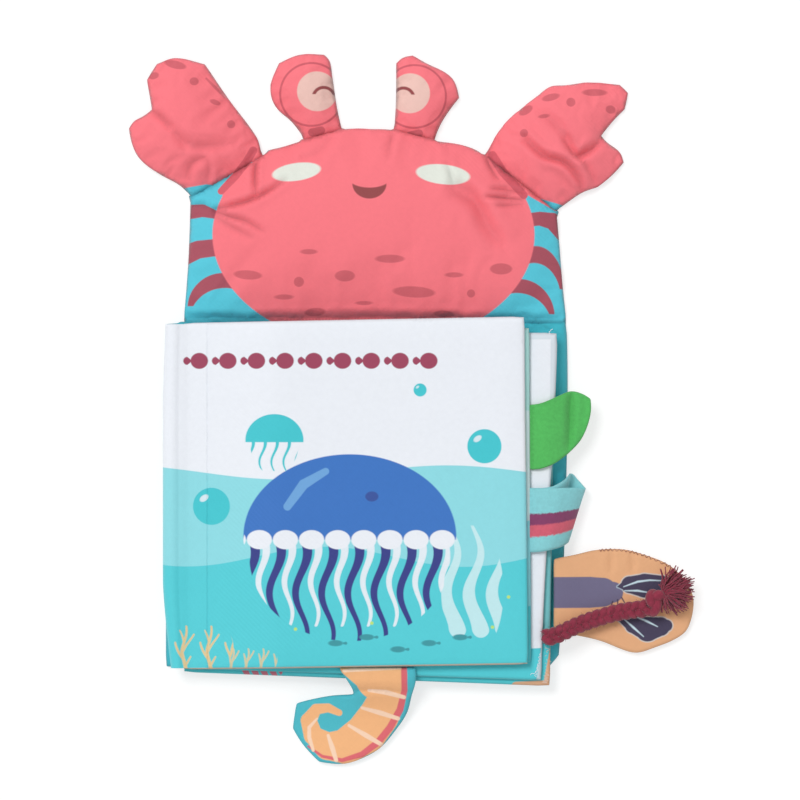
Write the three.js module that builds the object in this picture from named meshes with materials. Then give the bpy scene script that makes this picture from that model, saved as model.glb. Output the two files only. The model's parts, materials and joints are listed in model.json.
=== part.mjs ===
// Soft cloth activity book, lying on its back: padded covers, three pages, a stuffed crab head flap and sewn tags.
// Millimetres. +X points to the fore edge, +Y to the crab head and +Z to the reader.
// The origin lies on the back cover's flat rear face, on the book's middle line.
import * as THREE from "three";

// Cloth, sewing and clearances
const cloth = 0.4;
const sewn_gap = 0.3;
const edge_seam = 2 * cloth + sewn_gap;
const fold_gap = 0.9;
const seam_margin = 6;
const table_gap = 0.6;

// Spine: the axis that every page turns on, the bound roll round it and the strip of cover cloth outside
const spine_x = -99.9;
const spine_height = 12;
const spine_radius = 4.4;
const spine_low = -84.6;
const spine_high = 85.6;
const spine_sides = 20;
const wrap_radius = 4.6;
const wrap_cloth = 0.3;
const wrap_start_deg = 30;
const wrap_turn_deg = 170;
const wrap_steps = 17;

// Page hems at the spine, and the length over which the pages fan out to their full thickness
const hem_radius = 5;
const hem_thickness = 1.2;
const hem_pitch = 1.5;
const fan_length = 45;
const sheet_start_share = 0.45;

// Back cover
const back_reach = 195.4;
const back_overhang = 4.2;
const back_low = -84.8;
const back_thickness = 8.85;
const back_spine_thickness = 6.8;
const back_rise = 2.6;
const back_row_shares = [0, 0.035, 0.34, 0.965, 1];
const back_right_shares = [0.955, 0.98, 0.993, 1, 0.998];

// Pages and front cover: reach from the spine axis, lower and upper edges at the spine, and how each edge slants
const page_thickness = 3.2;
const page_gap = 0.35;
const page_3 = {
  reach: 187.8, fore_lean_deg: 0.753,
  low: -86.8, low_tilt_deg: -2.175, high: 80.5, high_tilt_deg: 0,
};
const page_2 = {
  reach: 186.25, fore_lean_deg: 2.653,
  low: -84.8, low_tilt_deg: -1.905, high: 81.4, high_tilt_deg: 0,
};
const page_1 = {
  reach: 176.75, fore_lean_deg: -0.239,
  low: -83.6, low_tilt_deg: 0.666, high: 84, high_tilt_deg: 0,
};
const cover = {
  reach: 174.7, fore_lean_deg: -0.602,
  low: -85.2, low_tilt_deg: 0.94, high: 86.2, high_tilt_deg: 1.075,
};

// Crab head flap, hinged on the back cover's upper edge
const head_hinge_y = 86.8;
const head_hinge_gap = 0.98;
const head_width = 190.4;
const head_length = 95.7;
const head_crown = 15;
const plush_ring_shares = [1, 0.93, 0.78, 0.5];
const plush_power = 0.8;

// Stuffed limbs: how far each reaches from its seam, and how thick it is stuffed
const left_claw_reach = 65;
const right_claw_reach = 68.2;
const claw_crown = 11;
const left_eye_reach = 40.6;
const right_eye_reach = 37.5;
const eye_crown = 8.5;

// Padded tails
const tail_thickness = 5.2;
const tail_ring_shares = [1, 0.86, 0.62, 0.34];
const tail_power = 0.6;
const spiral_tail_left = -18.3;
const spiral_tail_root = 38.7;
const spiral_tail_reach = 49.6;
const fan_tail_low = -66.9;
const fan_tail_root = 36.4;
const fan_tail_hinge_x = 88;
const fan_tail_reach = 69.9;

// Leaf and striped loop, both pressed thin where the page's seam holds them
const tag_seam = 0.9;
const leaf_low = 12.9;
const leaf_root = 32.6;
const leaf_reach = 29.4;
const leaf_layer = 1.1;
const loop_low = -27.2;
const loop_width = 31.8;
const loop_reach = 26.5;
const loop_ribbon = 1.2;

// Rope, its knot and its frayed end
const rope_diameter = 8;
const rope_sides = 8;
const rope_steps = 18;
const knot_length = 10.4;
const knot_width = 15.2;
const knot_height = 10;
const knot_sides = 12;
const tassel_length = 16.8;
const tassel_width = 25;
const tassel_height = 9.4;
const tassel_sides = 12;

const colours = {
  teal: 0x45b8c8,
  aqua: 0x6fd3dc,
  white: 0xe8edf6,
  peach: 0xe5b48c,
  coral: 0xf87a84,
  green: 0x58be62,
  ribbon: 0x8cd4da,
  orange: 0xe4ac80,
  maroon: 0x78263a,
  wadding: 0xf2f1ea,
};

const mix = THREE.MathUtils.lerp;
const radians = THREE.MathUtils.degToRad;
const slope = (degrees) => Math.tan(radians(degrees));
const book = new THREE.Group();

function addNode(name, geometry, colour) {
  const material = new THREE.MeshStandardMaterial({ color: colour, roughness: 0.9, metalness: 0 });
  const mesh = new THREE.Mesh(geometry, material);
  mesh.name = name;
  book.add(mesh);
}

function geometryFrom(points, faces) {
  const geometry = new THREE.BufferGeometry();
  geometry.setAttribute("position", new THREE.Float32BufferAttribute(points.flat(), 3));
  geometry.setIndex(faces.flat());
  return geometry;
}

// The value at x on a broken line through [x, value] stations
function along(stations, x) {
  const next = stations.findIndex(([station]) => x <= station);
  if (next === 0) return stations[0][1];
  if (next < 0) return stations[stations.length - 1][1];
  const [x0, v0] = stations[next - 1];
  const [x1, v1] = stations[next];
  return mix(v0, v1, (x - x0) / (x1 - x0));
}

// Closed solid from an upper and a lower grid of points: grid[i][j], i to the right and j up the page
function gridSolid(upper, lower) {
  const columns = upper.length;
  const rows = upper[0].length;
  const points = [...upper.flat(), ...lower.flat()];
  const top = (i, j) => i * rows + j;
  const bottom = (i, j) => columns * rows + i * rows + j;
  const faces = [];
  for (let i = 0; i + 1 < columns; i++) {
    for (let j = 0; j + 1 < rows; j++) {
      faces.push([top(i, j), top(i + 1, j), top(i + 1, j + 1)]);
      faces.push([top(i, j), top(i + 1, j + 1), top(i, j + 1)]);
      faces.push([bottom(i, j), bottom(i + 1, j + 1), bottom(i + 1, j)]);
      faces.push([bottom(i, j), bottom(i, j + 1), bottom(i + 1, j + 1)]);
    }
  }
  const rim = [];
  for (let i = 0; i < columns; i++) rim.push([i, 0]);
  for (let j = 1; j < rows; j++) rim.push([columns - 1, j]);
  for (let i = columns - 2; i >= 0; i--) rim.push([i, rows - 1]);
  for (let j = rows - 2; j > 0; j--) rim.push([0, j]);
  rim.forEach(([i, j], k) => {
    const [next_i, next_j] = rim[(k + 1) % rim.length];
    faces.push([bottom(i, j), bottom(next_i, next_j), top(next_i, next_j)]);
    faces.push([bottom(i, j), top(next_i, next_j), top(i, j)]);
  });
  return geometryFrom(points, faces);
}

// Closed solid between two height functions on rings that shrink from an outline towards its centre
function ringSolid(outline, centre, shares, upper, lower) {
  const count = outline.length;
  const points = [];
  for (const height of [upper, lower]) {
    for (const share of shares) {
      for (const [x, y] of outline) {
        const place = [mix(centre[0], x, share), mix(centre[1], y, share)];
        points.push([...place, height(share, ...place)]);
      }
    }
    points.push([...centre, height(0, ...centre)]);
  }
  const under = shares.length * count + 1;
  const inner = (shares.length - 1) * count;
  const faces = [];
  for (let i = 0; i < count; i++) {
    const next = (i + 1) % count;
    for (let ring = 0; ring < inner; ring += count) {
      const [a, b, c, d] = [ring + i, ring + next, ring + count + next, ring + count + i];
      faces.push([a, b, c], [a, c, d]);
      faces.push([under + a, under + c, under + b], [under + a, under + d, under + c]);
    }
    faces.push([inner + i, inner + next, under - 1]);
    faces.push([under + inner + next, under + inner + i, under + under - 1]);
    faces.push([under + i, under + next, next], [under + i, next, i]);
  }
  return geometryFrom(points, faces);
}

// An outline from stretches of points: two points make a straight edge, more make a smooth curve
function outlineFrom(stretches) {
  const outline = [];
  for (const stretch of stretches) {
    const curve = new THREE.SplineCurve(stretch.map(([x, y]) => new THREE.Vector2(x, y)));
    const steps = stretch.length - 1;
    for (let i = 0; i < steps; i++) outline.push(curve.getPoint(i / steps).toArray());
  }
  return outline;
}

// Stretches in shares along a seam, and of the reach out from it, set on the seam from start to end
function onSeam(start, end, gap, reach, stretches_shares) {
  const [dx, dy] = [end[0] - start[0], end[1] - start[1]];
  const length = Math.hypot(dx, dy);
  const place = ([u, v]) => {
    const away = gap + reach * v;
    return [start[0] + dx * u + (dy / length) * away, start[1] + dy * u - (dx / length) * away];
  };
  return stretches_shares.map((stretch) => stretch.map(place));
}

// Spine: the bound roll, and the strip of the front cover's cloth round it
function addSpine() {
  const roll = new THREE.CylinderGeometry(spine_radius, spine_radius, spine_high - spine_low, spine_sides);
  roll.translate(spine_x, (spine_high + spine_low) / 2, spine_height);
  addNode("spine_binding", roll, colours.aqua);
  const arc = (radius, back) => {
    const points = [];
    for (let i = 0; i <= wrap_steps; i++) {
      const angle = radians(wrap_start_deg + (wrap_turn_deg * i) / wrap_steps);
      points.push(new THREE.Vector2(radius * Math.cos(angle), radius * Math.sin(angle)));
    }
    return back ? points.reverse() : points;
  };
  const section = new THREE.Shape([...arc(wrap_radius + wrap_cloth, false), ...arc(wrap_radius, true)]);
  const wrap = new THREE.ExtrudeGeometry(section, { depth: spine_high - spine_low, bevelEnabled: false });
  wrap.rotateX(Math.PI / 2);
  wrap.translate(spine_x, spine_high, spine_height);
  addNode("spine_wrap", wrap, colours.white);
}

// Back cover: a flat rear panel, wadding and a front panel that is low under the spine
function addBackCover() {
  const left = spine_x - back_overhang;
  const high = head_hinge_y - head_hinge_gap / 2;
  const rise = spine_x + hem_radius;
  const grid = (margin, thin) => {
    const [first, second] = margin ? [left + margin, (left + margin + rise) / 2] : [left, left + seam_margin];
    const heights = [back_spine_thickness, back_spine_thickness, back_spine_thickness, back_thickness];
    return [first, second, rise, rise + back_rise, seam_margin, 0].map((station, i) =>
      back_row_shares.map((row, j) => {
        const y = mix(back_low + margin, high - margin, row);
        const right = spine_x + back_reach * back_right_shares[j] - margin;
        const x = i < heights.length ? station : right - station;
        const at_edge = i === 0 || station === 0 || j === 0 || j === back_row_shares.length - 1;
        const full = at_edge && margin === 0 ? edge_seam : (heights[i] ?? back_thickness);
        return [x, y, full - thin];
      }),
    );
  };
  const flat = (points, z) => points.map((column) => column.map(([x, y]) => [x, y, z]));
  const outer = grid(0, 0);
  const thin = cloth + sewn_gap;
  const wadding = grid(seam_margin, thin);
  addNode("back_cover_rear_panel", gridSolid(flat(outer, cloth), flat(outer, 0)), colours.teal);
  addNode("back_cover_front_panel", gridSolid(outer, grid(0, cloth)), colours.teal);
  addNode("back_cover_padding", gridSolid(wadding, flat(wadding, thin)), colours.wadding);
}

// The lower face of leaf number n from the back, at the hem and out at the fore edge
const hemLow = (n) => spine_height - hem_pitch * 2 + (hem_pitch - hem_thickness) / 2 + hem_pitch * n;
const freeLow = (n) => back_thickness + sewn_gap + (page_thickness + page_gap) * n;
const seamHeight = (n) => freeLow(n) + page_thickness / 2;

// A page or the cover: two cloth panels with a sheet between, thin at the hem and full beyond the fan
function addLeaf(n, edges, names, colour) {
  const left = spine_x + hem_radius;
  const fan_end = left + fan_length;
  const floor = [[left, hemLow(n)], [fan_end, freeLow(n)]];
  const depth = [[left, hem_thickness], [fan_end, page_thickness]];
  const fore_lead = (slope(edges.fore_lean_deg) * (edges.high - edges.low)) / 2;
  const grid = (start, margin, side, thin) => {
    const low = (x) => edges.low + slope(edges.low_tilt_deg) * (x - left) + margin;
    const high = (x) => edges.high + slope(edges.high_tilt_deg) * (x - left) - margin;
    const rows = [(x) => low(x), (x) => low(x) + seam_margin, (x) => high(x) - seam_margin, (x) => high(x)];
    return [0, 1, 2, 3].map((i) =>
      rows.map((row, j) => {
        const fore = spine_x + edges.reach + (j > 1 ? fore_lead : -fore_lead);
        const x = [start, fan_end, fore - seam_margin - margin, fore - margin][i];
        const seamed = margin === 0 && (i === 3 || j === 0 || j === 3);
        const half = (seamed ? edge_seam : along(depth, x)) / 2 - thin;
        return [x, row(x), along(floor, x) + along(depth, x) / 2 + side * half];
      }),
    );
  };
  addNode(names[0], gridSolid(grid(left, 0, -1, cloth), grid(left, 0, -1, 0)), colour);
  addNode(names[2], gridSolid(grid(left, 0, 1, 0), grid(left, 0, 1, cloth)), colour);
  const thin = cloth + sewn_gap;
  const start = left + fan_length * sheet_start_share;
  const inside = gridSolid(grid(start, seam_margin, 1, thin), grid(start, seam_margin, -1, thin));
  addNode(names[1], inside, colours.wadding);
}

function addPages() {
  [page_3, page_2, page_1].forEach((edges, n) => {
    const page = "page_" + (3 - n);
    const names = [page + "_rear_panel", page + "_crinkle_sheet", page + "_front_panel"];
    addLeaf(n, edges, names, [colours.peach, colours.white, colours.aqua][n]);
  });
  const cover_names = ["front_cover_inner_panel", "front_cover_padding", "front_cover_outer_panel"];
  addLeaf(3, cover, cover_names, colours.white);
}

// A stuffed piece that lies on its back: a flat rear panel, a crowned front panel and the stuffing between
function addPlush(name, outline, centre, crown) {
  const front = (thin) => (share) =>
    edge_seam - thin + (crown - edge_seam) * (1 - share ** 2) ** plush_power;
  const rings = plush_ring_shares;
  const floor = cloth + sewn_gap;
  addNode(name + "_front_panel", ringSolid(outline, centre, rings, front(0), front(cloth)), colours.coral);
  addNode(name + "_rear_panel", ringSolid(outline, centre, [1], () => cloth, () => 0), colours.coral);
  const inside = ringSolid(outline, centre, rings.slice(1), front(floor), () => floor);
  addNode(name + "_stuffing", inside, colours.wadding);
}

// Seams of the limbs and the head's outline, counterclockwise: shares of the head's width and length
const right_claw_seam_shares = [[0.974, 0.572], [0.786, 0.861]];
const right_eye_seam_shares = [[0.654, 0.939], [0.549, 0.994]];
const left_eye_seam_shares = [[0.413, 0.998], [0.316, 0.943]];
const left_claw_seam_shares = [[0.206, 0.856], [0.018, 0.649]];
const head_outline_shares = [
  [[0, 0], [0.5, 0], [1, 0]],
  [[1, 0], [0.99, 0.19], [0.98, 0.44], right_claw_seam_shares[0]],
  right_claw_seam_shares,
  [right_claw_seam_shares[1], [0.765, 0.89], [0.72, 0.92], right_eye_seam_shares[0]],
  right_eye_seam_shares,
  [right_eye_seam_shares[1], [0.482, 1], left_eye_seam_shares[0]],
  left_eye_seam_shares,
  [left_eye_seam_shares[1], [0.255, 0.905], [0.22, 0.89], left_claw_seam_shares[0]],
  left_claw_seam_shares,
  [left_claw_seam_shares[1], [0.012, 0.32], [0, 0]],
];
const head_centre_shares = [0.492, 0.45];

const onHead = ([u, v]) => [head_width * (u - 0.5), head_hinge_y + head_hinge_gap / 2 + head_length * v];

// Limb outlines, counterclockwise from the inner end of the seam: shares along the seam and of the reach
const left_claw_centre_shares = [0.58, 0.45];
const right_claw_centre_shares = [0.5, 0.4];
const left_eye_centre_shares = [0.6, 0.55];
const right_eye_centre_shares = [0.55, 0.5];
const left_claw_shares = [
  [[1, 0], [0, 0]],
  [[0, 0], [-0.05, 0.12], [-0.04, 0.22], [0.02, 0.48], [0.07, 0.82]],
  [[0.07, 0.82], [0.35, 0.97], [0.58, 1], [0.78, 0.93]],
  [[0.78, 0.93], [0.9, 0.71]],
  [[0.9, 0.71], [1.03, 0.7], [1.17, 0.7], [1.26, 0.67], [1.31, 0.57], [1.33, 0.47]],
  [[1.33, 0.47], [1.3, 0.38], [1.19, 0.24], [1.05, 0.1], [1, 0]],
];
const right_claw_shares = [
  [[1, 0], [0, 0]],
  [[0, 0], [-0.03, 0.07], [-0.1, 0.21], [-0.19, 0.31], [-0.24, 0.43], [-0.26, 0.57]],
  [[-0.26, 0.57], [-0.16, 0.61], [0.02, 0.61], [0.12, 0.62]],
  [[0.12, 0.62], [0.11, 0.79], [0.09, 0.88], [0.17, 0.99], [0.3, 1]],
  [[0.3, 1], [0.61, 0.86], [0.76, 0.76], [0.89, 0.68]],
  [[0.89, 0.68], [0.95, 0.54], [1.01, 0.38], [1.04, 0.22], [1, 0]],
];
const left_eye_shares = [
  [[1, 0], [0, 0]],
  [[0, 0], [-0.03, 0.23], [-0.14, 0.64], [-0.18, 0.84]],
  [[-0.18, 0.84], [-0.09, 0.92], [0.54, 1], [1.1, 0.97]],
  [[1.1, 0.97], [1.46, 0.74], [1.53, 0.58], [1.47, 0.44], [1.19, 0.23], [1, 0]],
];
const right_eye_shares = [
  [[1, 0], [0, 0]],
  [[0, 0], [-0.06, 0.22], [-0.25, 0.52], [-0.33, 0.61]],
  [[-0.33, 0.61], [-0.12, 0.8], [0.06, 0.87], [0.7, 0.95], [1.02, 1]],
  [[1.02, 1], [1.25, 0.93], [1.36, 0.84], [1.26, 0.64], [1.1, 0.28], [1, 0]],
];

// Each limb's name, seam, outline, centre, reach and crown
const limbs = [
  ["left_claw", left_claw_seam_shares, left_claw_shares, left_claw_centre_shares, left_claw_reach, claw_crown],
  ["right_claw", right_claw_seam_shares, right_claw_shares, right_claw_centre_shares, right_claw_reach, claw_crown],
  ["left_eye", left_eye_seam_shares, left_eye_shares, left_eye_centre_shares, left_eye_reach, eye_crown],
  ["right_eye", right_eye_seam_shares, right_eye_shares, right_eye_centre_shares, right_eye_reach, eye_crown],
];

function addHead() {
  const outline = outlineFrom(head_outline_shares.map((stretch) => stretch.map(onHead)));
  addPlush("head", outline, onHead(head_centre_shares), head_crown);
  for (const [name, seam_shares, shares, centre_shares, reach, crown] of limbs) {
    const [start, end] = seam_shares.map(onHead);
    const placed = onSeam(start, end, fold_gap, reach, [...shares, [centre_shares]]);
    const [centre] = placed.pop();
    addPlush(name, outlineFrom(placed), centre, crown);
  }
}

// A padded tag that drapes from a page edge to the table, its middle height following the distance from its root
function addTail(name, outline, centre, middle, colour) {
  const half = (share) => (edge_seam + (tail_thickness - edge_seam) * (1 - share ** 2) ** tail_power) / 2;
  const face = (side, thin) => (share, x, y) => middle(x, y) + side * (half(share) - thin);
  const rings = tail_ring_shares;
  addNode(name + "_front_panel", ringSolid(outline, centre, rings, face(1, 0), face(1, cloth)), colour);
  addNode(name + "_rear_panel", ringSolid(outline, centre, rings, face(-1, cloth), face(-1, 0)), colour);
  const thin = cloth + sewn_gap;
  const inside = ringSolid(outline, centre, rings.slice(1), face(1, thin), face(-1, thin));
  addNode(name + "_padding", inside, colours.wadding);
}

// Drapes: share of the reach, and share of the drop from the root's height to the table
const spiral_tail_drape_shares = [
  [0, 1], [0.12, 0.92], [0.19, 0.78], [0.27, 0.5], [0.42, 0.17], [0.6, 0.02], [1, 0],
];
const fan_tail_drape_shares = [
  [0, 1], [0.05, 0.89], [0.11, 0.69], [0.22, 0.37], [0.38, 0.12], [0.6, 0.03], [1, 0],
];
const spiral_tail_centre_shares = [0.51, 0.475];
const fan_tail_centre_shares = [0.45, 0.52];
const spiral_tail_shares = [
  [[1, 0], [0, 0]],
  [[0, 0], [0.1, 0.12], [0.19, 0.24], [0.2, 0.28]],
  [[0.2, 0.28], [-0.06, 0.29], [-0.28, 0.32], [-0.54, 0.37]],
  [[-0.54, 0.37], [-0.59, 0.63], [-0.46, 0.79], [-0.25, 0.97]],
  [[-0.25, 0.97], [0.07, 0.99], [0.32, 0.93], [0.54, 0.83], [0.73, 0.66]],
  [[0.73, 0.66], [0.89, 0.47], [0.95, 0.28], [1, 0.15], [1, 0]],
];
const fan_tail_shares = [
  [[1, 0], [0, 0]],
  [[0, 0], [-0.08, 0.23], [-0.14, 0.35], [-0.25, 0.49], [-0.3, 0.59]],
  [[-0.3, 0.59], [-0.22, 0.73], [-0.13, 0.85], [0, 0.95], [0.13, 0.98]],
  [[0.13, 0.98], [0.3, 1], [0.48, 1], [0.61, 0.97], [0.83, 0.88]],
  [[0.83, 0.88], [0.94, 0.8], [1.05, 0.65], [1.12, 0.52]],
  [[1.12, 0.52], [1.13, 0.4], [1.11, 0.28], [1.06, 0.17], [1, 0]],
];

function addTails() {
  const rest = tail_thickness / 2 + table_gap;
  const draped = (shares, reach, height, distance) =>
    mix(rest, height, along(shares, distance / reach));
  const spiral_root = [spiral_tail_left, page_1.low];
  const spiral_end = [spiral_tail_left + spiral_tail_root, page_1.low];
  const spiral = [...spiral_tail_shares, [spiral_tail_centre_shares]];
  const spiral_placed = onSeam(spiral_root, spiral_end, sewn_gap, spiral_tail_reach, spiral);
  const [spiral_centre] = spiral_placed.pop();
  const spiral_drape = (x, y) =>
    draped(spiral_tail_drape_shares, spiral_tail_reach, seamHeight(2), page_1.low - sewn_gap - y);
  addTail("spiral_tail", outlineFrom(spiral_placed), spiral_centre, spiral_drape, colours.teal);

  const fan_root = [fan_tail_hinge_x, fan_tail_low];
  const fan_end = [fan_tail_hinge_x, fan_tail_low + fan_tail_root];
  const fan = [...fan_tail_shares, [fan_tail_centre_shares]];
  const fan_placed = onSeam(fan_root, fan_end, fold_gap / 2, fan_tail_reach, fan);
  const [fan_centre] = fan_placed.pop();
  const fan_drape = (x) =>
    draped(fan_tail_drape_shares, fan_tail_reach, seamHeight(0), x - fan_tail_hinge_x - fold_gap / 2);
  addTail("fan_tail", outlineFrom(fan_placed), fan_centre, fan_drape, colours.orange);
}

// Leaf: shares of the reach, the lower and upper edges as shares of the root, and the height as a share of the root's
const leaf_shares = [
  [0, 0, 1, 1],
  [0.21, 0.05, 1.05, 0.985],
  [0.36, 0.1, 1.11, 0.935],
  [0.48, 0.17, 1.16, 0.82],
  [0.66, 0.3, 1.22, 0.66],
  [0.85, 0.5, 1.18, 0.7],
  [1, 0.9, 1.1, 0.75],
];
// Loop: stations round the ribbon, as a share of the reach, of the root's height and of the width it is shifted up by
const loop_shares = [
  [0, 1, 0], [0.234, 1.034, 0], [0.38, 1.014, 0], [0.53, 0.964, 0], [0.79, 0.762, 0], [0.952, 0.549, 0],
  [1, 0.37, 0.02], [0.963, 0.202, 0.08], [0.866, 0.123, 0.15], [0.777, 0.146, 0.2], [0.717, 0.269, 0.22],
  [0.695, 0.448, 0.2], [0.625, 0.627, 0.14], [0.494, 0.818, 0.07], [0.346, 0.924, 0.02], [0, 1, 0],
];
const loop_row_shares = [0, 0.5, 1];

function addPageTags() {
  const middle = (page_1.low + page_1.high) / 2;
  const rootX = (y) => spine_x + page_1.reach + slope(page_1.fore_lean_deg) * (y - middle) + fold_gap;
  const height = seamHeight(2);
  const half_gap = sewn_gap / 2;
  const outside = half_gap + leaf_layer;
  const leaf = (root_offset, offset) =>
    leaf_shares.map(([out, low, high, level]) =>
      [low, (low + high) / 2, high].map((row) => [
        rootX(leaf_low) + leaf_reach * out,
        leaf_low + leaf_root * row,
        height * level + (out === 0 ? root_offset : offset),
      ]),
    );
  const front = gridSolid(leaf(tag_seam / 2, outside), leaf(half_gap, half_gap));
  const rear = gridSolid(leaf(-half_gap, -half_gap), leaf(-tag_seam / 2, -outside));
  addNode("leaf_front_layer", front, colours.green);
  addNode("leaf_rear_layer", rear, colours.green);

  const root_ribbon = (tag_seam - sewn_gap) / 2;
  const root_offset = (tag_seam - root_ribbon) / 2;
  const path = loop_shares.map(([out, level, shift], i) => [
    rootX(loop_low) + loop_reach * out,
    out > 0 ? height * level : height + (i > 0 ? -root_offset : root_offset),
    loop_width * shift,
  ]);
  const ribbon = (side) =>
    path.map(([x, z, shift], i) => {
      const before = path[Math.max(i - 1, 0)];
      const after = path[Math.min(i + 1, path.length - 1)];
      const [dx, dz] = [after[0] - before[0], after[1] - before[1]];
      const at_root = i === 0 || i === path.length - 1;
      const offset = (side * (at_root ? root_ribbon : loop_ribbon)) / 2 / Math.hypot(dx, dz);
      return loop_row_shares.map((row) => [
        x - dz * offset,
        loop_low + loop_width * row + shift,
        z + dx * offset,
      ]);
    });
  addNode("striped_loop", gridSolid(ribbon(1), ribbon(-1)), colours.ribbon);
}

// Rope route, from page 2's edge over the fan tail to the knot
const rope_route = [
  [84, -69.4, 16.6], [87, -69, 16.5], [90, -68.1, 16.1], [93.5, -66.6, 15.3], [97, -64.9, 14.2],
  [101, -63.2, 13.2], [105, -61.7, 12.3], [109.5, -60.2, 11.6], [114, -58.9, 11.2], [119, -57.5, 10.9],
  [124, -56.5, 10.8], [129, -55.8, 10.7], [133, -55.4, 10.7],
];
const knot_place = [138.7, -51.8, 11.5];
const tassel_place = [143.5, -46.6, 11.4];
const tassel_lean_deg = 4;
const tassel_profile_shares = [[0, 0.12], [0.25, 0.5], [0.6, 0.9], [0.85, 1], [1, 0.75]];

function addRope() {
  const route = new THREE.CatmullRomCurve3(rope_route.map((point) => new THREE.Vector3(...point)));
  const corners = [];
  for (let i = 0; i < rope_sides; i++) {
    const angle = (2 * Math.PI * i) / rope_sides;
    corners.push(new THREE.Vector2(Math.cos(angle), Math.sin(angle)).multiplyScalar(rope_diameter / 2));
  }
  const settings = { steps: rope_steps, extrudePath: route, bevelEnabled: false };
  addNode("rope", new THREE.ExtrudeGeometry(new THREE.Shape(corners), settings), colours.maroon);

  const knot = new THREE.SphereGeometry(1, knot_sides, knot_sides / 2);
  knot.rotateX(Math.PI / 2);
  knot.scale(knot_length / 2, knot_width / 2, knot_height / 2);
  knot.translate(...knot_place);
  addNode("rope_knot", knot, colours.maroon);

  const profile = tassel_profile_shares.map(([out, wide]) => new THREE.Vector2(wide, out));
  const ends = [new THREE.Vector2(0, 0), ...profile, new THREE.Vector2(0, 1)];
  const tassel = new THREE.LatheGeometry(ends, tassel_sides);
  tassel.rotateZ(-Math.PI / 2);
  tassel.scale(tassel_length, tassel_width / 2, tassel_height / 2);
  tassel.rotateZ(radians(tassel_lean_deg));
  tassel.translate(...tassel_place);
  addNode("rope_tassel", tassel, colours.maroon);
}

addSpine();
addBackCover();
addPages();
addHead();
addTails();
addPageTags();
addRope();

export default book;
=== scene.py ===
"""Soft cloth activity book with a stuffed crab head flap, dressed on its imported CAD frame.

Metres throughout, in the frame of the CAD model: +X to the fore edge, +Y to the crab head, +Z to the reader.
Prints and creases are laid out in pixels of the 800 by 800 photograph, looking straight down.
"""

import copy
import json
import logging
import math
import random
from collections.abc import Callable, Iterable, Sequence
from dataclasses import dataclass
from enum import Enum

import bpy
import numpy as np
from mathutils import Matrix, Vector
from mathutils.bvhtree import BVHTree
from mathutils.geometry import delaunay_2d_cdt

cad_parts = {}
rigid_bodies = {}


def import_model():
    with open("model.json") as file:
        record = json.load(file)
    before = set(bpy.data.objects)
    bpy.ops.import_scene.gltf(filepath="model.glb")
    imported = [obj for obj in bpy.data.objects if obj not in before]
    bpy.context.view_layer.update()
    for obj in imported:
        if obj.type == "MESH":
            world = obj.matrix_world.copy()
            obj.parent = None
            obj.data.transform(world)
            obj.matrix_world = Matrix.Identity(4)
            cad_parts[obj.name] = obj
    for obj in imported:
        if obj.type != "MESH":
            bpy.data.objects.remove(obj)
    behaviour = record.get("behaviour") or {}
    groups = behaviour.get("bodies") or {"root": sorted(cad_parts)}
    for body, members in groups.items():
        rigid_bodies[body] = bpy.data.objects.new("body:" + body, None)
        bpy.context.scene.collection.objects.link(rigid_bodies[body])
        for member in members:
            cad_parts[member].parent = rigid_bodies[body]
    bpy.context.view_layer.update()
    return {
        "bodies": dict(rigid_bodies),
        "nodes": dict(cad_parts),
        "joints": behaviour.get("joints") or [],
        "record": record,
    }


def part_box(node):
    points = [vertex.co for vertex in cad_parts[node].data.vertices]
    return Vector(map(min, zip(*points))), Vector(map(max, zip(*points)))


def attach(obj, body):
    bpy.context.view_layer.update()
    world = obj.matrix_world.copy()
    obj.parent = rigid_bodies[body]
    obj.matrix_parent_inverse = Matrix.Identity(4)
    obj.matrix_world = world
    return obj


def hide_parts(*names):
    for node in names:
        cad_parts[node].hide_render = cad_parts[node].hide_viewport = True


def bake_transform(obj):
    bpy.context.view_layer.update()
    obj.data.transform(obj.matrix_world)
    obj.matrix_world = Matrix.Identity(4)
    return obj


log = logging.getLogger("activity_book")

MM = 0.001
MICRON = 1e-6
MICRONS_PER_METRE = 1e6

# The photograph: its scale on the object, the pixel of the frame's origin and its width
PIXELS_PER_METRE = 2016.7
ORIGIN_PX = (375.0, 497.0)
IMAGE_PX = 800

Socket = bpy.types.NodeSocket
Point = tuple[float, float]
Value = float | Sequence[float] | Socket


def from_photo(px: float, py: float) -> Point:
    """Gives the place in metres of a pixel of the photograph."""
    return (px - ORIGIN_PX[0]) / PIXELS_PER_METRE, (ORIGIN_PX[1] - py) / PIXELS_PER_METRE


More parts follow.
